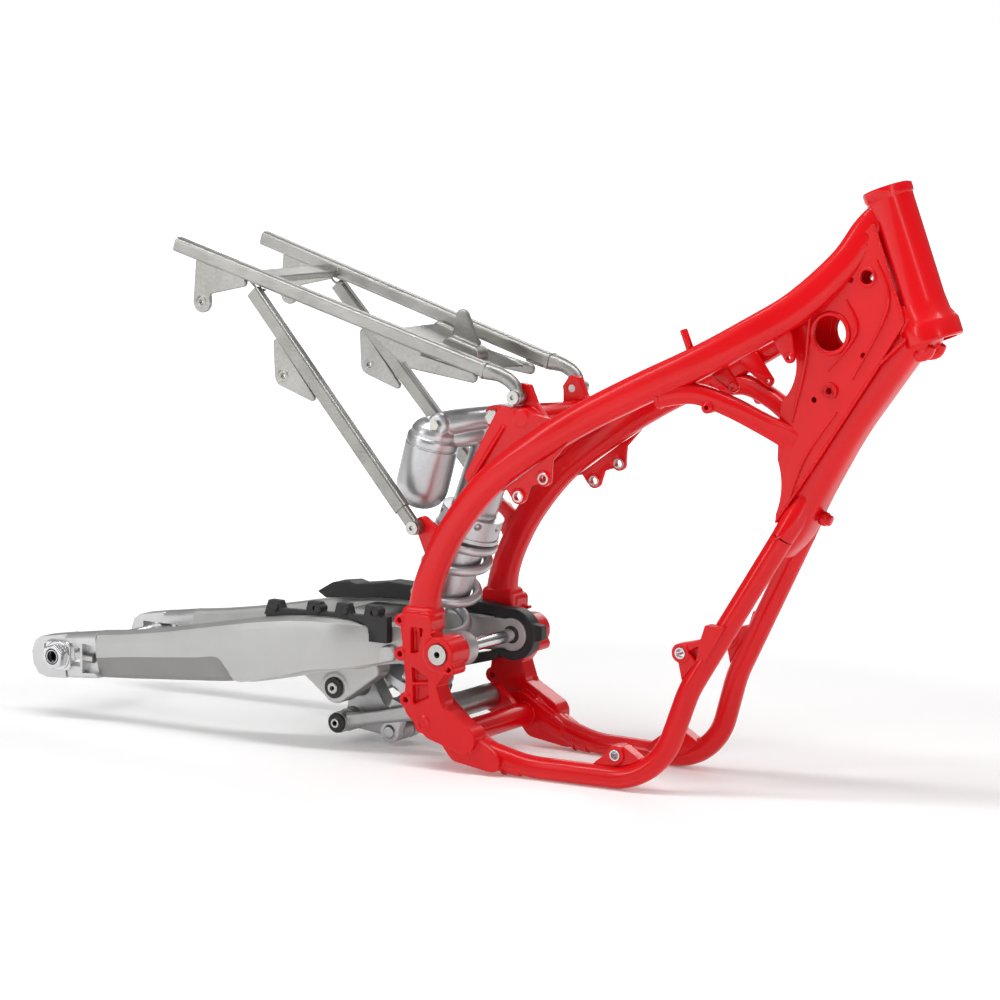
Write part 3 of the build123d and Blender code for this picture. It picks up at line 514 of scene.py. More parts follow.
# Stations of the tubes: x, y, z, width, height, squareness
SPAR = [
    (552, 9, 727, 18, 24, 2.4), (545, 13, 713, 22, 30, 2.6), (530, 18, 692, 25, 35, 2.9),
    (505, 26, 652, 27, 38, 2.9), (454, 40, 602, 28, 40, 2.9),
    (398, 54, 566, 28, 40, 2.9), (338, 65, 532, 28, 40, 2.9), (260, 74, 494, 28, 40, 2.9),
    (192, 81, 459, 28, 39, 2.9), (130, 88, 421, 28, 38, 2.9), (60, 92, 370, 27, 37, 2.9),
    (12, 92.5, 315, 27, 36, 2.9), (-16, 92.5, 268, 27, 36, 2.9), (-32, 92.5, 228, 27, 38, 2.9),
    (-37, 92.5, 197, 27, 42, 3.2),
]
BRACE = [
    (282, 72, 486, 20, 26, 2.6), (330, 66, 493, 22, 26, 2.6), (372, 56, 480, 22, 26, 2.6),
    (412, 40, 459, 20, 27, 2.6), (438, 27, 444, 16, 31, 2.6), (456, 20, 432, 14, 34, 2.6),
]
DOWNTUBE = [
    (592, 0, 578, 48, 44, 3.2), (545, 0, 522, 50, 54, 3.2), (500, 0, 462, 50, 58, 3.2),
    (463, 0, 392, 52, 52, 3.2), (440, 0, 332, 56, 36, 3.0), (424, 0, 300, 46, 18, 2.6),
]
# Gussets: corners and boss as (x, z), bays as (x, z, radius), ribs as (x, z, width)
GUSSET_FRONT_OFFSET = 16
GUSSET_TOP_REAR, GUSSET_LOW_REAR, GUSSET_FRONT_LOW = (440, 590), (424, 340), (556, 538)
GUSSET_BAYS = [(388, 530, 60), (340, 385, 91)]
GUSSET_BOSS = (493, 503)
GUSSET_RIBS = [
    [(536, 678, 4), (474, 616, 8), (460, 530, 8), (444, 462, 3)],
    [(550, 660, 3), (566, 606, 8), (522, 518, 3)],
    [(512, 612, 3), (526, 574, 9), (490, 526, 3)],
    [(503, 478, 3), (462, 420, 6), (440, 360, 3)],
]


def mirrored(stations, side):
    return [(row[0], side * row[1], *row[2:]) for row in stations]


def head_place(distance, offset):
    """Side-view point down the steering axis, offset towards the front."""
    x = HEAD_TOP[0] + distance * sin(HEAD_ANGLE) + offset * cos(HEAD_ANGLE)
    return (x, HEAD_TOP[2] - distance * cos(HEAD_ANGLE) + offset * sin(HEAD_ANGLE))


def gusset_rear(z):
    """How far back the gussets reach at a height: their straight edge, hollowed by the two bays."""
    (x0, z0), (x1, z1) = GUSSET_LOW_REAR, GUSSET_TOP_REAR
    edges = [x0 + (x1 - x0) * (z - z0) / (z1 - z0)]
    for x, middle, radius in GUSSET_BAYS:
        if abs(z - middle) < radius:
            edges.append(x + sqrt(radius ** 2 - (z - middle) ** 2))
    return max(edges)


def head_tube():
    profile = [
        (0, 23.5), (0, 28.6), (1.4, 30), (10, 30), (12.5, 28.6), (15, 28), (138, 28), (156, 29.5),
        (165, 34), (168, 35.5), (187, 35.5), (189, 34), (189, 27.5), (175, 27.5), (175, 20), (14, 20),
        (14, 23.5),
    ]
    piece = new_object("head_tube_skin", lathe(profile, HEAD_TOP, HEAD_DOWN, 96), RED, "frame",
                       35)
    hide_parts("head_tube")


def spars():
    for name, side in SIDES.items():
        mesh = loft(mirrored(SPAR, side), 10, 56)
        ear = side_plate([(-52, 312), (-38, 320), (-8, 300), (-30, 262)], 88, 98, side, corner=6, edge=1.5)
        piece = new_object("spar_" + name, join_meshes([mesh, ear]), RED, "frame", 60)
        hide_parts("backbone_" + name, "rear_leg_" + name)


def braces():
    for name, side in SIDES.items():
        parts = [loft(mirrored(BRACE, side), 10, 40)]
        parts.append(tube((352, side * 58, 478), (352, side * 76, 478), 7.2, 3.0, edge=1.2))
        piece = new_object("brace_" + name, join_meshes(parts), RED, "frame", 60)
        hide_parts("strut_" + name)


def downtube():
    parts = [loft(DOWNTUBE, 10, 56)]
    parts.append(rod((462, 0, 350), (484, 0, 343), 7, edge=2))
    parts.append(rod((470, 0, 347), (479, 0, 344), 9, edge=2))
    for side in SIDES.values():
        stem = [(434, side * 31, 322, 28, 28, 2), (446, side * 24, 346, 28, 30, 2),
                (458, side * 14, 374, 24, 26, 2)]
        parts.append(loft(stem, 8, 40))
    piece = new_object("downtube_skin", join_meshes(parts), RED, "frame", 60)
    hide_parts("downtube")


def rim(centre, radius, y, side, minor=2.4, count=56):
    """Rolled rim round a pressed hole."""
    turns = [2 * pi * k / 12 for k in range(12)]
    profile = [(minor * cos(a), radius + minor * (1 + sin(a))) for a in turns]
    return lathe(profile, (centre[0], side * y, centre[1]), (0, 1, 0), count)


def gussets():
    for name, side in SIDES.items():
        parts = [cad_mesh("head_gusset_" + name)]
        parts.append(rim((492, 571), 20.5, 31, side, 3.0))
        parts.append(rim((538, 639), 8, 31, side, 2.0))
        boss = (GUSSET_BOSS[0], side * 26, GUSSET_BOSS[1])
        parts.append(tube(boss, (boss[0], side * 34.5, boss[2]), 10, 4, edge=1.6))
        for path in GUSSET_RIBS:
            rib = [(x, side * 31, z, width, width * 0.55, 2) for x, z, width in path]
            parts.append(loft(rib, 8, 18))
        piece = new_object("gusset_" + name, join_meshes(parts), RED, "frame", 50)
        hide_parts("head_gusset_" + name)


def gusset_back():
    """Rear wall between the two gussets."""
    rings = []
    low, high = GUSSET_LOW_REAR[1], GUSSET_TOP_REAR[1]
    for k in range(41):
        z = low + (high - low) * k / 40
        x = gusset_rear(z)
        rings.append([at(x + 1, -29, z), at(x + 1, 29, z), at(x + 4, 29, z), at(x + 4, -29, z)])
    new_object("gusset_back_wall", skin(rings), RED, "frame", 40)


def neck():
    """Cast collar that joins the downtube and the gussets to the foot of the head tube."""
    parts = [loft([(566, 0, 590, 54, 40, 3), (585, 0, 590, 58, 46, 3), (604, 0, 588, 52, 34, 2.6)], 6, 40)]
    parts.append(loft([(594, 0, 560, 46, 30, 3), (603, 0, 572, 54, 30, 3),
                       (610, 0, 582, 58, 22, 2.4)], 6, 40))
    for side in SIDES.values():
        parts.append(loft([(596, side * 14, 548, 12, 14, 2.4), (608, side * 15, 552, 14, 16, 2.4),
                           (614, side * 15, 562, 13, 14, 2.4)], 4, 20))
    new_object("neck_collar", cast_mesh(parts, 1.0, 8, 0.5), RED, "frame", None)


# Curved rib round the pivot: first angle and turn in radians, and its radius
RIB_START, RIB_TURN, RIB_RADIUS = 1.75, 2.4, 29
CASTING_LUGS = [(-59, 187, 8), (-58, 144, 9), (15, 131, 8), (-49, 86, 10)]
CRADLE_FOOT = [(106, 84.5, 14, 28, 28, 2), (82, 87, 16.5, 28, 28, 2), (58, 89.5, 25, 28, 28, 2),
               (30, 92, 36, 28, 30, 2)]


def casting_parts(side):
    face = 117.0
    parts = []
    parts.append(tube((0, side * 77.6, PIVOT_Z), (0, side * 118.4, PIVOT_Z), 22, 13.4, edge=2))
    for x, z, radius in CASTING_LUGS:
        parts.append(tube((x, side * 88.2, z), (x, side * (face + 1), z), radius, 3.7, edge=1.5))
    parts.append(tube((-22, side * 90, 58), (-22, side * (face + 1), 58), 11, 6.5, edge=1.5))
    socket = belt((-52, 180, 9), (-22, 180, 9), (-52, 196, 9), (-22, 196, 9))
    parts.append(side_plate(socket, 79, 110, side, corner=0.5, edge=4))
    rib_y = side * (face - 5)
    arc = []
    for k in range(13):
        a = RIB_START + RIB_TURN * k / 12
        arc.append((RIB_RADIUS * cos(a), rib_y, PIVOT_Z + RIB_RADIUS * sin(a), 10, 4.5, 2.4))
    parts.append(loft(arc, 2, 14))
    for x0, z0, x1, z1 in [(-50, 106, -8, 112), (-44, 76, -6, 96), (-20, 70, 6, 84), (-30, 168, -34, 198)]:
        parts.append(loft([(x0, rib_y, z0, 10, 4.5, 2.4), (x1, rib_y, z1, 10, 4.5, 2.4)], 2, 14))
    parts.append(loft(mirrored(CRADLE_FOOT, side), 6, 40))
    collar = [(66, 88.5, 22, 31, 31, 2), (50, 90.5, 29, 33, 33, 2.2), (30, 92, 37, 34, 36, 2.6),
              (12, 94, 50, 32, 40, 2.8)]
    parts.append(loft(mirrored(collar, side), 6, 40))
    return parts


def castings():
    for name, side in SIDES.items():
        cast_node("pivot_casting_" + name, RED, "frame", casting_parts(side), 1.0, 5, 0.6)


def rear_webs():
    x, z = UPPER_CROSS
    for name, side in SIDES.items():
        cap = rod((x, side * 73.5, z), (x, side * 85, z), 13, edge=3)
        rib = loft([(74, side * 85, 438, 5, 5, 2), (50, side * 86, 402, 6, 6, 2),
                    (24, side * 86, 362, 4, 4, 2)], 6, 14)
        cast_node("rear_web_" + name, RED, "frame", (cap, rib), 1.0, 6, 0.5)


TANK_TABS = [((348, 526, 13), (373, 502, 7)), ((438, 564, 13), (447, 541, 7))]


def tank_mounts():
    parts = [rod((323, -60, 540), (312, -62, 569), 4.8, edge=1.2)]
    for side in SIDES.values():
        for root, eye in TANK_TABS:
            x, z, radius = eye
            tab = belt(root, eye)
            parts.append(side_plate(tab, 43, 48.5, side, holes=[(x, z, 2.6)], corner=0.5, edge=1.4))
            parts.append(tube((x, side * 42.5, z), (x, side * 50, z), radius - 0.5, 2.6, edge=1.2))
    piece = new_object("tank_mounts_skin", join_meshes(parts), RED, "frame", 40)
    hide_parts("tank_mounts")


ENGINE_HOLES = [(102, 354), (138, 379)]


def small_castings():
    for base in ["front_engine_lug", "lower_engine_lug", "engine_plate"]:
        for name in SIDES:
            cast_node(f"{base}_{name}", RED, "frame", (), 0.8, 5, 0.4)
    sleeves = []
    for side in SIDES.values():
        for x, z in ENGINE_HOLES:
            sleeves.append(tube((x, side * 88.4, z), (x, side * 97.6, z), 7.6, 5.1, edge=0.8))
    new_object("head_stay_sleeves", join_meshes(sleeves), ZINC, "frame", 40)


def frame_welds():
    beads = []
    for side in SIDES.values():
        seam = [(x, side * 30.6, z) for x, z in (GUSSET_LOW_REAR, (470, 408), GUSSET_FRONT_LOW, (590, 570))]
        beads.append(weld(seam, 2.2))
        top = [(518, side * 33, 674), (503, side * 36, 654), (465, side * 47, 616), (444, side * 54, 595)]
        beads.append(weld(top, 2.2))
        edge = [head_place(d, -GUSSET_FRONT_OFFSET) for d in (38, 98, 157)]
        front = [(x, side * 29.5, z) for x, z in edge]
        beads.append(weld(front, 2.4))
        for (x, y, z), ahead, a, b in [
            ((434, 31, 322), (-0.42, -0.12, 0.84), 14.2, 14.2),
            ((84, 86.8, 16), (1, 0.08, -0.15), 14.4, 14.4), ((286, 70, 487), (1, -0.15, 0.12), 11.6, 13.4),
        ]:
            normal = (ahead[0], side * ahead[1], ahead[2])
            beads.append(weld(ring_path((x, side * y, z), normal, a, b), 2.0))
        for (x, z), y, radius, size in [(UPPER_CROSS, 72.5, 11.6, 1.8), (LOWER_CROSS, 75.5, 15.6, 2.0)]:
            beads.append(weld(ring_path((x, side * y, z), (0, 1, 0), radius), size))
    new_object("frame_weld_beads", join_meshes(beads), RED, "frame", 70)


# ---- subframe ----
RAIL_REAR, RAIL_FRONT = Vector((-422, 96, 647)), Vector((46, 78, 505))


def rail_place(t, side, offset=(0, 0, 0)):
    place = RAIL_REAR.lerp(RAIL_FRONT, t)
    return (place.x + offset[0], side * place.y + offset[1], place.z + offset[2])


def subframe():
    along = (RAIL_FRONT - RAIL_REAR).normalized()
    bolt_x, bolt_z = HOOK_BOLT
    for name, side in SIDES.items():
        end = Vector(rail_place(1, side))
        direction = Vector((along.x, side * along.y, along.z))
        x, y, z = end
        hook = [(x - 1, y, z, 20, 21, 3), (x + 6, y, z - 1, 19, 20, 2.8),
                (x + 18, y - side, z - 4, 17, 18, 2.2), (x + 30, y - side * 2, z - 10, 15, 18, 2.1),
                (x + 38, y - side * 3, z - 18, 14, 17, 2.1),
                (x + 41, y - side * 3, z - 28, 13, 15, 2.1)]
        parts = [loft(hook, 8, 36)]
        parts.append(tube((bolt_x, side * 67.2, bolt_z), (bolt_x, side * 83, bolt_z), 10, 5, edge=1.6))
        piece = new_object("hook_" + name, join_meshes(parts), PLATE_METAL, "frame", 60)
        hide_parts("rail_hook_" + name)
        collar = tuple(end - direction * 5)
        ring = [(*collar, 20.5, 21.5, 5), (*tuple(end - direction * 1.5), 20.5, 21.5, 5)]
        new_object("rail_collar_" + name, loft(ring, 1, 40), PLATE_METAL, "frame", 30)
    cast_node("subframe_cross_strut", PLATE_METAL, "frame", (), 0.9, 4, 0.4)


FENDER_EYE, PANEL_EYE = (-381, 573), (-250, 484)
FENDER_BELTS = [((-381, 622, 10), (*FENDER_EYE, 14)), ((-378, 596, 14), (-316, 601, 6)),
                ((-381, 622, 10), (-316, 601, 6))]
PANEL_BELTS = [((-261, 526, 5), (*PANEL_EYE, 14)), ((*PANEL_EYE, 14), (-206, 459, 5)),
               ((-261, 526, 5), (-206, 459, 5))]


def lugs():
    """Sheet lugs under the rails and behind the stays, each with a raised eye."""
    for node, belts, (x, z), inner, outer in [
        ("fender_lugs", FENDER_BELTS, FENDER_EYE, 94, 100), ("panel_lugs", PANEL_BELTS, PANEL_EYE, 95, 101),
    ]:
        parts, bores = [], []
        for side in SIDES.values():
            for rounds in belts:
                parts.append(side_plate(belt(*rounds), inner, outer, side, corner=0.5, edge=1.4))
            parts.append(rod((x, side * (inner - 0.5), z), (x, side * (outer + 1), z), 8, edge=1.5))
            bores.append(rod((x, side * (inner - 9), z), (x, side * (outer + 9), z), 3.4, edge=0.1))
        mesh = cut(cast_mesh(parts, 0.8, 4, 0.5), bores)
        piece = new_object(node + "_skin", mesh, PLATE_METAL, "frame", None)
        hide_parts(node)


SKIRT_BELTS = [((-122, 541, 9), (-86, 516, 9), (-66, 522, 9)), ((-70, 511, 11), (18, 495, 7))]
TRAY = [(-124, 546, 3), (-96, 536, 4), (-64, 524, 4), (-30, 511, 4), (8, 499, 3)]


def saddle():
    """Bracket between the rails: two skirts, one pressed sheet and a tab in the middle."""
    parts = [loft([(x, 0, z, 138, thick, 4) for x, z, thick in TRAY], 6, 40)]
    for side in SIDES.values():
        for rounds in SKIRT_BELTS:
            parts.append(side_plate(belt(*rounds), 66, 72, side, corner=0.5, edge=2))
    parts.append(plate(belt((-46, 564, 9), (-42, 522, 22)), 4, 12, corner=0.5, edge=2))
    parts.append(plate(belt((-58, 526, 12), (-26, 516, 12)), -6, 22, corner=0.5, edge=4))
    return parts


def bracket():
    mesh = cast_mesh(saddle(), 0.9, 5, 0.5)
    piece = new_object("saddle_bracket", mesh, PLATE_METAL, "frame", None)
    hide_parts("subframe_bracket")
    gaps = []
    for side in SIDES.values():
        gaps.append(loft([(-67, side * 104.6, 331.5, 13.6, 19.6, 5),
                          (-63.6, side * 105, 327.5, 13.6, 19.6, 5)], 1, 32))
    new_object("stay_gaps", join_meshes(gaps), BLACK, "frame", 30)


def subframe_welds():
    beads = []
    for side in SIDES.values():
        for t, offset in [(0.262, -9.5), (0.95, -10)]:
            x, y, z = rail_place(t, side)
            beads.append(weld([(x - 14, y - side * 6, z + offset + 4), (x, y - side * 7, z + offset),
                               (x + 14, y - side * 6, z + offset - 4)], 1.8, 2.6))
        x, y, z = rail_place(0.25, side)
        for dx in (-13, 13):
            beads.append(weld([(x + dx, y - side * 9.8, z - 8), (x + dx, y - side * 9.8, z + 2)], 1.6, 2.6))
        beads.append(weld([(-392, side * 93, 629), (-366, side * 92.5, 621)], 1.8, 2.6))
        beads.append(weld([(-236, side * 97, 503), (-205, side * 99, 472)], 1.6, 2.6))
        beads.append(weld([(-312, side * 88, 603), (-300, side * 87, 592), (-286, side * 88, 592)], 1.8,
                          2.6))
    new_object("subframe_weld_beads", join_meshes(beads), PLATE_METAL, "frame", 70)


# ---- swingarm ----
# Each row: x, inner y, outer y, bottom, crease, top. The side below the crease leans inwards.
ARM_ROWS = [
    (-545, 94, 122, 61, 90, 124), (-500, 94, 122, 64, 96, 129),
    (-440, 94, 122, 69, 102, 138), (-380, 94, 122, 74, 108, 149), (-345, 93.5, 122, 77, 112, 156),
    (-328, 93, 122, 79, 98, 159), (-312, 92, 122, 80, 84, 162), (-290, 91, 121.5, 82, 86, 166),
    (-240, 89, 120, 92, 98, 173), (-200, 84, 116, 101, 109, 176), (-160, 78, 111, 109, 114, 176),
    (-118, 67, 93, 117, 122, 174), (-88, 57.2, 79, 121, 128, 173), (-40, 56.6, 77, 125, 131, 172),
    (0, 56.2, 76.9, 128, 133, 170),
]
ARM_STEPS = 6
# Points of the arm's section, and the rows and places of the undercut facet that gets painted shade
ARM_POINTS = 16
SHADE_ROW_FROM, SHADE_ROW_TO = 0, 5
UNDERCUT = (11, 12, 13)
CLEVIS = (-190, 79)


def arm_ring(x, inner, outer, bottom, crease, top, side):
    """Closed section of an arm: rounded top, upright side, crease, and undercut below."""
    lean, soft = (outer - inner) * 0.30, (outer - inner) * 0.22
    section = [
        (inner, bottom + soft), (inner, crease), (inner, top - soft),
        (inner + soft * 0.3, top - soft * 0.3),
        (inner + soft, top), ((inner + outer) / 2, top + 0.5), (outer - soft * 1.6, top - 0.5),
        (outer - soft * 0.5, top - soft * 0.7), (outer - 0.4, top - soft * 2.0),
        (outer, (top + crease) / 2),
        (outer - 0.4, crease + 1.5), (outer - 1.4, crease - 1.5),
        (outer - lean * 0.6, (crease + bottom) / 2),
        (outer - lean, bottom + soft * 0.9), (outer - lean - soft * 0.7, bottom),
        (inner + soft * 0.8, bottom),
    ]
    return [at(x, side * y, z) for y, z in section]


def arm_mesh(side):
    """One arm; the undercut behind its middle gets a darker copy of the cast metal, as painted shade."""
    rows = smooth_stations(ARM_ROWS, ARM_STEPS)
    mesh = skin([arm_ring(*row, side) for row in rows])
    mesh.materials.append(CAST_METAL)
    mesh.materials.append(CAST_PAINTED_SHADE)
    for face in mesh.polygons:
        row, place = divmod(min(face.vertices), ARM_POINTS)
        in_row = SHADE_ROW_FROM * ARM_STEPS <= row <= SHADE_ROW_TO * ARM_STEPS
        if in_row and place in UNDERCUT and len(face.vertices) == 4:
            face.material_index = 1
    return mesh


def cut(mesh, cutters):
    """The mesh minus the cutters."""
    holder = bpy.data.objects.new("cut", mesh)
    bpy.context.scene.collection.objects.link(holder)
    tool = bpy.data.objects.new("tool", join_meshes(cutters))
    bpy.context.scene.collection.objects.link(tool)
    modifier = holder.modifiers.new("cut", "BOOLEAN")
    modifier.operation = "DIFFERENCE"
    modifier.object = tool
    modifier.solver = "EXACT"
    result = evaluated(holder)
    bpy.data.objects.remove(holder)
    bpy.data.objects.remove(tool)
    return result


def swingarm():
    clevis_x, clevis_z = CLEVIS
    blocks, cast_bores = [], []
    for name, side in SIDES.items():
        bore = rod((0, side * 40, PIVOT_Z), (0, side * 90, PIVOT_Z), 11.6, edge=0.1, count=48)
        arm = cut(arm_mesh(side), [bore])
        new_object("swingarm_arm_" + name, arm, None, "swingarm", 18)
        lug = cut(rod((0, side * 56.1, PIVOT_Z), (0, side * 76.95, PIVOT_Z), 22, edge=1.5, count=64),
                  [bore])
        new_object("swingarm_lug_" + name, lug, CAST_METAL, "swingarm", 35)
        bulge = belt((*CLEVIS, 21), (-246, 108, 12), (-134, 108, 12), (-240, 126, 8))
        blocks.append(side_plate(bulge, 40, 70, side, corner=0.5, edge=4))
        for rounds in [((-292, 108, 22), (-236, 116, 18)), ((-236, 118, 17), (-150, 124, 12)),
                       ((-150, 122, 13), (-96, 136, 11))]:
            blocks.append(side_plate(belt(*rounds), 66, 88, side, corner=0.5, edge=5))
        blocks.append(rod((clevis_x, side * 40, clevis_z), (clevis_x, side * 71.5, clevis_z), 21, edge=2.5))
        bore = rod((clevis_x, side * 30, clevis_z), (clevis_x, side * 96, clevis_z), 6.1, edge=0.1)
        cast_bores.append(bore)
    cross = belt((-232, 157, 9), (-178, 159, 9), (-176, 115, 9), (-232, 109, 9))
    blocks.append(plate(cross, -92, 92, corner=0.5, edge=3))
    mesh = cut(cast_mesh(blocks, 1.3, 7, 0.6), cast_bores)
    piece = new_object("swingarm_cross", mesh, CAST_METAL, "swingarm", None)
    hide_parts("swingarm")


HOOKS = [-266, -198, -156, -108]


def swingarm_trim():
    cast_node("chain_slider", BLACK, "swingarm", (), 0.9, 4, 0.4)
    knobs = []
    for x in HOOKS:
        z = 186 + (x - HOOKS[0]) * 0.05
        knobs.append(rod((x, -100, z - 4), (x, -82, z - 4), 5.5, edge=1.5))
    cast_node("hose_guide", BLACK, "swingarm", knobs, 0.8, 4, 0.4)
    x, z = CLEVIS
    seals, sleeves = [], []
    for side in SIDES.values():
        seals.append(tube((x, side * 71, z), (x, side * 75.5, z), 14, 6.3, edge=1.5))
        seals.append(tube((0, side * 55, PIVOT_Z), (0, side * 77, PIVOT_Z), 11.4, 8.6, edge=0.8))
        sleeves.append(tube((x, side * 70, z), (x, side * 77.5, z), 7.5, 3.5, edge=0.8))
    piece = new_object("swingarm_seals_skin", join_meshes(seals), RUBBER, "swingarm", 40)
    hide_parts("swingarm_seals")
    new_object("rocker_bolt_sleeves", join_meshes(sleeves), ZINC, "swingarm", 40)


AXLE = (-606, 87)


def axle_end():
    x, z = AXLE
    hexagon = [(x + 17.5 * cos(pi * k / 3 + 0.3), z + 17.5 * sin(pi * k / 3 + 0.3)) for k in range(6)]
    parts = [plate(hexagon, -140, -129, holes=[(x, z, 8.2)], corner=2, edge=1.2)]
    parts.append(tube((x, -129.5, z), (x, -126, z), 20, 8.2, edge=1))
    parts.append(tube((x, -140, z), (x, -135, z), 12, 8.2, edge=1))
    piece = new_object("axle_nut_skin", join_meshes(parts), MILLED_METAL, "rear_axle_set",
                       35)
    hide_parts("axle_nut")
    parts = []
    for side in SIDES.values():
        block = [(x - 22, z - 20), (x - 22, z + 20), (x + 20, z + 20), (x + 20, z - 20)]
        parts.append(side_plate(block, 122.4, 126.2, side, holes=[(x, z, 12.6)], corner=9, edge=1.2))
        tongue = [(x - 13, z - 12.8), (x - 13, z + 12.8), (x + 13, z + 12.8), (x + 13, z - 12.8)]
        parts.append(side_plate(tongue, 107.5, 122.6, side, holes=[(x, z, 12.6)], corner=3, edge=0.6))
    piece = new_object("adjuster_blocks_skin", join_meshes(parts), MILLED_METAL, "rear_axle_set",
                       35)
    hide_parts("adjuster_blocks")


# ---- linkage and shock ----
SHOCK_TOP, SHOCK_LOW = Vector((24, 0, 442)), Vector((-134, 0, 19))
SHOCK_DOWN = (SHOCK_LOW - SHOCK_TOP).normalized()
SPRING_START, SPRING_END = 166.5, 371.5
# Radius of the coil's middle line, radius of the wire, and the share of the wire's radius that is drawn
SPRING_RADIUS, WIRE, WIRE_SHARE = 38.5, 6.5, 0.98
SPRING_TURNS = 5.4


def shock_place(distance):
    return SHOCK_TOP + SHOCK_DOWN * distance


def linkage():
    cast_node("rocker", FORGED_METAL, "rocker_arm", (), 0.9, 6, 0.4)
    cast_node("link_rod", FORGED_METAL, "linkage_rod", (), 0.9, 6, 0.4)
    cast_node("shock_clevis", SHOCK_METAL, "shock_lower", (), 0.8, 6, 0.4)
    seals = []
    for side in SIDES.values():
        seals.append(tube((-200, side * 49.5, 28), (-200, side * 54.5, 28), 13.2, 6.4, edge=1.8))
    new_object("rod_end_seals", join_meshes(seals), RUBBER, "linkage_rod", 40)


def spring():
    """Coil with closed ends."""
    side = Vector((0, 1, 0))
    up = SHOCK_DOWN.cross(side)
    count = 420
    length = SPRING_END - SPRING_START - 2 * WIRE
    ends = 0.7
    places = []
    for i in range(count + 1):
        turn = SPRING_TURNS * i / count
        middle = min(max((turn - ends) / (SPRING_TURNS - 2 * ends), 0), 1)
        lead = 0.03 * (min(turn, ends) + max(turn - SPRING_TURNS + ends, 0)) / ends
        rise = (lead + middle * 0.94) * length
        a = 2 * pi * turn + 0.6
        centre = shock_place(SPRING_START + WIRE + rise)
        places.append(centre + (side * cos(a) + up * sin(a)) * SPRING_RADIUS)
    rings = []
    for i, place in enumerate(places):
        ahead = (places[min(i + 1, count)] - places[max(i - 1, 0)]).normalized()
        out = (place - shock_place((place - SHOCK_TOP).dot(SHOCK_DOWN))).normalized()
        out = (out - ahead * out.dot(ahead)).normalized()
        across = ahead.cross(out)
        ring = []
        for j in range(16):
            a = 2 * pi * j / 16
            ring.append(at(*place) + (out * cos(a) + across * sin(a)) * WIRE * WIRE_SHARE * MM)
        rings.append(ring)
    piece = new_object("spring_coil", skin(rings), SPRING_COAT, "shock_upper", 60)
    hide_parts("spring")
    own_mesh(piece)


RESERVOIR_TOP, RESERVOIR_END = Vector((-55, -44, 416)), Vector((-81, -44, 320))


def shock_upper():
    """Head casting with its bridge to the reservoir, the tube and the can."""
    axis = (RESERVOIR_END - RESERVOIR_TOP).normalized()
    neck_end = shock_place(60)
    parts = [rod((24, -18, 442), (24, 18, 442), 15, edge=3, count=48)]
    parts.append(rod(tuple(shock_place(10)), tuple(neck_end), 25, edge=4, count=48))
    parts.append(loft([(20, -6, 440, 34, 30, 2.4), (0, -16, 438, 36, 30, 2.4), (-24, -30, 434, 40, 32, 2.4),
                       (-48, -42, 428, 44, 34, 2.4)], 6, 32))
    parts.append(loft([(8, -12, 418, 20, 26, 2.4), (-18, -28, 414, 22, 26, 2.4),
                       (-40, -38, 412, 26, 26, 2.4)], 6, 32))
    cap = RESERVOIR_TOP - axis * 20
    parts.append(lathe([(0, 0.01), (0, 14), (3, 21), (9, 27), (15, 30), (22, 30), (22, 0.01)], tuple(cap),
                       axis, 48))
    parts.append(rod((-40, -64, 431), (-40, -40, 431), 14, edge=3, count=48))
    mesh = cast_mesh(parts, 1.0, 9, 0.6)
    head = new_object("shock_head_cast", mesh, SHOCK_METAL, "shock_upper", None)
    profile = [(40, 22), (40, 28), (42, 30), (128, 30), (130, 29.4), (132, 30), (249, 30), (250, 29),
               (250, 10), (246, 10), (246, 22)]
    body = lathe(profile, tuple(SHOCK_TOP), SHOCK_DOWN, 72)
    new_object("shock_tube_skin", body, SHOCK_METAL, "shock_upper", 40)
    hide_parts("shock_body")
    profile = [
        (-1, 0.01), (-1, 27), (0.5, 31), (3, 33), (6, 33.6), (12, 33.6), (12.8, 32.6), (14.4, 32.6),
        (15.2, 34), (66, 34), (72, 33.6), (79, 31.8), (86, 28.0), (91, 23), (95, 16.5), (97.4, 9),
        (98.2, 0.01),
    ]
    piece = new_object("reservoir_can", lathe(profile, tuple(RESERVOIR_TOP), axis, 96), SHOCK_METAL,
                       "shock_upper", 40)
    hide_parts("reservoir")


# ---- stage ----
BACK_ANGLE, LOOK_UP, ROLL = radians(31.88), radians(7.67), radians(0.42)
DISTANCE = 4108.29
TARGET = (16.37, 0.0, 332.78)
FOCAL = 3227.74 / 1000 * 36.0


def camera():
    back = Vector((sin(BACK_ANGLE) * cos(LOOK_UP), -cos(BACK_ANGLE) * cos(LOOK_UP), sin(LOOK_UP)))
    right = Vector((cos(BACK_ANGLE), sin(BACK_ANGLE), 0))
    up = back.cross(right)
    right_r = right * cos(ROLL) + up * sin(ROLL)
    up_r = up * cos(ROLL) - right * sin(ROLL)
    data = bpy.data.cameras.new("camera")
    data.lens = FOCAL
    data.sensor_width = 36.0
    data.clip_end = 50.0
    eye = bpy.data.objects.new("camera", data)
    bpy.context.scene.collection.objects.link(eye)
    place = at(*TARGET) + back * DISTANCE * MM
    eye.matrix_world = Matrix.Translation(place) @ Matrix((right_r, up_r, back)).transposed().to_4x4()
    bpy.context.scene.camera = eye


def area_light(name, place, target, size, power, size_y):
    data = bpy.data.lights.new(name, "AREA")
    data.shape = "RECTANGLE"
    data.size = size
    data.size_y = size_y
    data.energy = power
    lamp = bpy.data.objects.new(name, data)
    bpy.context.scene.collection.objects.link(lamp)
    lamp.location = place
    lamp.rotation_euler = (Vector(target) - Vector(place)).to_track_quat("-Z", "Y").to_euler()


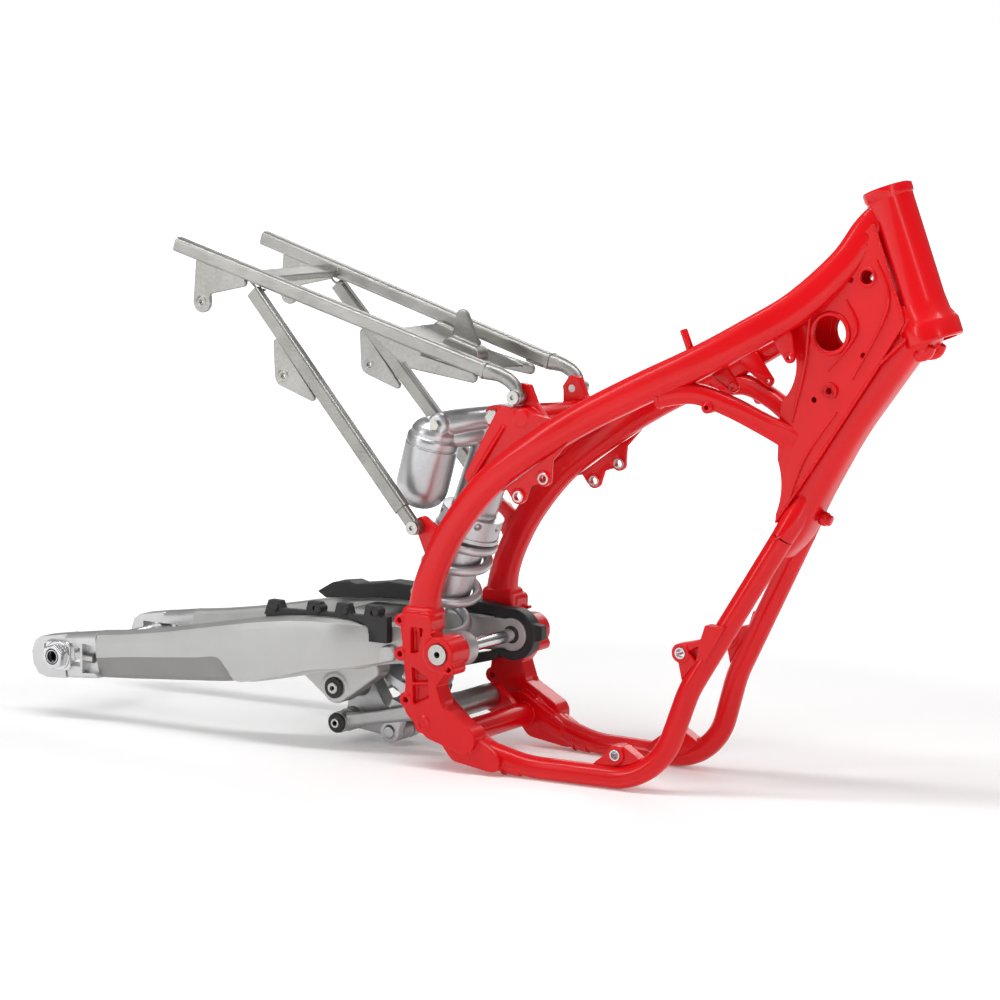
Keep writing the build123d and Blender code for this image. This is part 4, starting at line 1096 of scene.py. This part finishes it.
def studio():
    new_floor()
    middle = (0, 0, 0.35)
    area_light("top_strip", (0.15, -0.5, 2.3), middle, 3.0, 30, 0.3)
    area_light("key_front_left", (-1.7, -2.6, 1.5), middle, 0.45, 19, 1.8)
    area_light("fill_right", (2.4, -1.7, 1.0), middle, 0.35, 9, 1.8)
    area_light("rim_back", (-0.6, 2.6, 1.6), middle, 2.4, 16, 0.4)
    world = bpy.data.worlds.new("studio")
    bpy.context.scene.world = world
    world.use_nodes = True
    tree = world.node_tree
    place = tree.nodes.new("ShaderNodeTexCoord").outputs["Generated"]
    split = tree.nodes.new("ShaderNodeSeparateXYZ")
    link(tree, place, split.inputs["Vector"])
    rays = tree.nodes.new("ShaderNodeLightPath").outputs["Is Camera Ray"]
    glow = tree.nodes.new("ShaderNodeMath")
    glow.operation = "MAXIMUM"
    link(tree, ramp(tree, split.outputs["Z"], 0.10, 0.50, 0.0, 0.9), glow.inputs[0])
    link(tree, rays, glow.inputs[1])
    link(tree, glow.outputs[0], tree.nodes["Background"].inputs["Strength"])
    tree.nodes["Background"].inputs["Color"].default_value = (1, 1, 1, 1)
    bpy.context.scene.view_settings.view_transform = "Standard"
    bpy.context.scene.view_settings.look = "None"


def new_floor():
    mesh = bpy.data.meshes.new("floor")
    half = 40.0
    level = -0.0002
    corners = [(-half, -half, level), (half, -half, level), (half, half, level), (-half, half, level)]
    mesh.from_pydata(corners, [], [(0, 1, 2, 3)])
    floor = bpy.data.objects.new("floor", mesh)
    bpy.context.scene.collection.objects.link(floor)
    material, tree, shader, place = base_material("pale_floor")
    cloud = noise(tree, place, 1.5, 2.0)
    link(tree, tint(tree, cloud, (0.93, 0.93, 0.93), (0.95, 0.95, 0.95)), shader.inputs["Base Color"])
    shader.inputs["Roughness"].default_value = 0.9
    shader.inputs["Emission Color"].default_value = (1, 1, 1, 1)
    # Painted light: the floor glows more with distance from the middle, brightening where the lamps reach less,
    # and stays faint near the chassis
    reach = tree.nodes.new("ShaderNodeVectorMath")
    reach.operation = "LENGTH"
    link(tree, place, reach.inputs[0])
    link(tree, ramp(tree, reach.outputs["Value"], 0.14, 1.0, 0.8, 2.4), shader.inputs["Emission Strength"])
    mesh.materials.append(material)
    return floor


head_tube()
neck()
spars()
braces()
downtube()
gussets()
gusset_back()
castings()
rear_webs()
tank_mounts()
small_castings()
frame_welds()
subframe()
lugs()
bracket()
subframe_welds()
swingarm()
swingarm_trim()
axle_end()
linkage()
spring()
shock_upper()
camera()
studio()
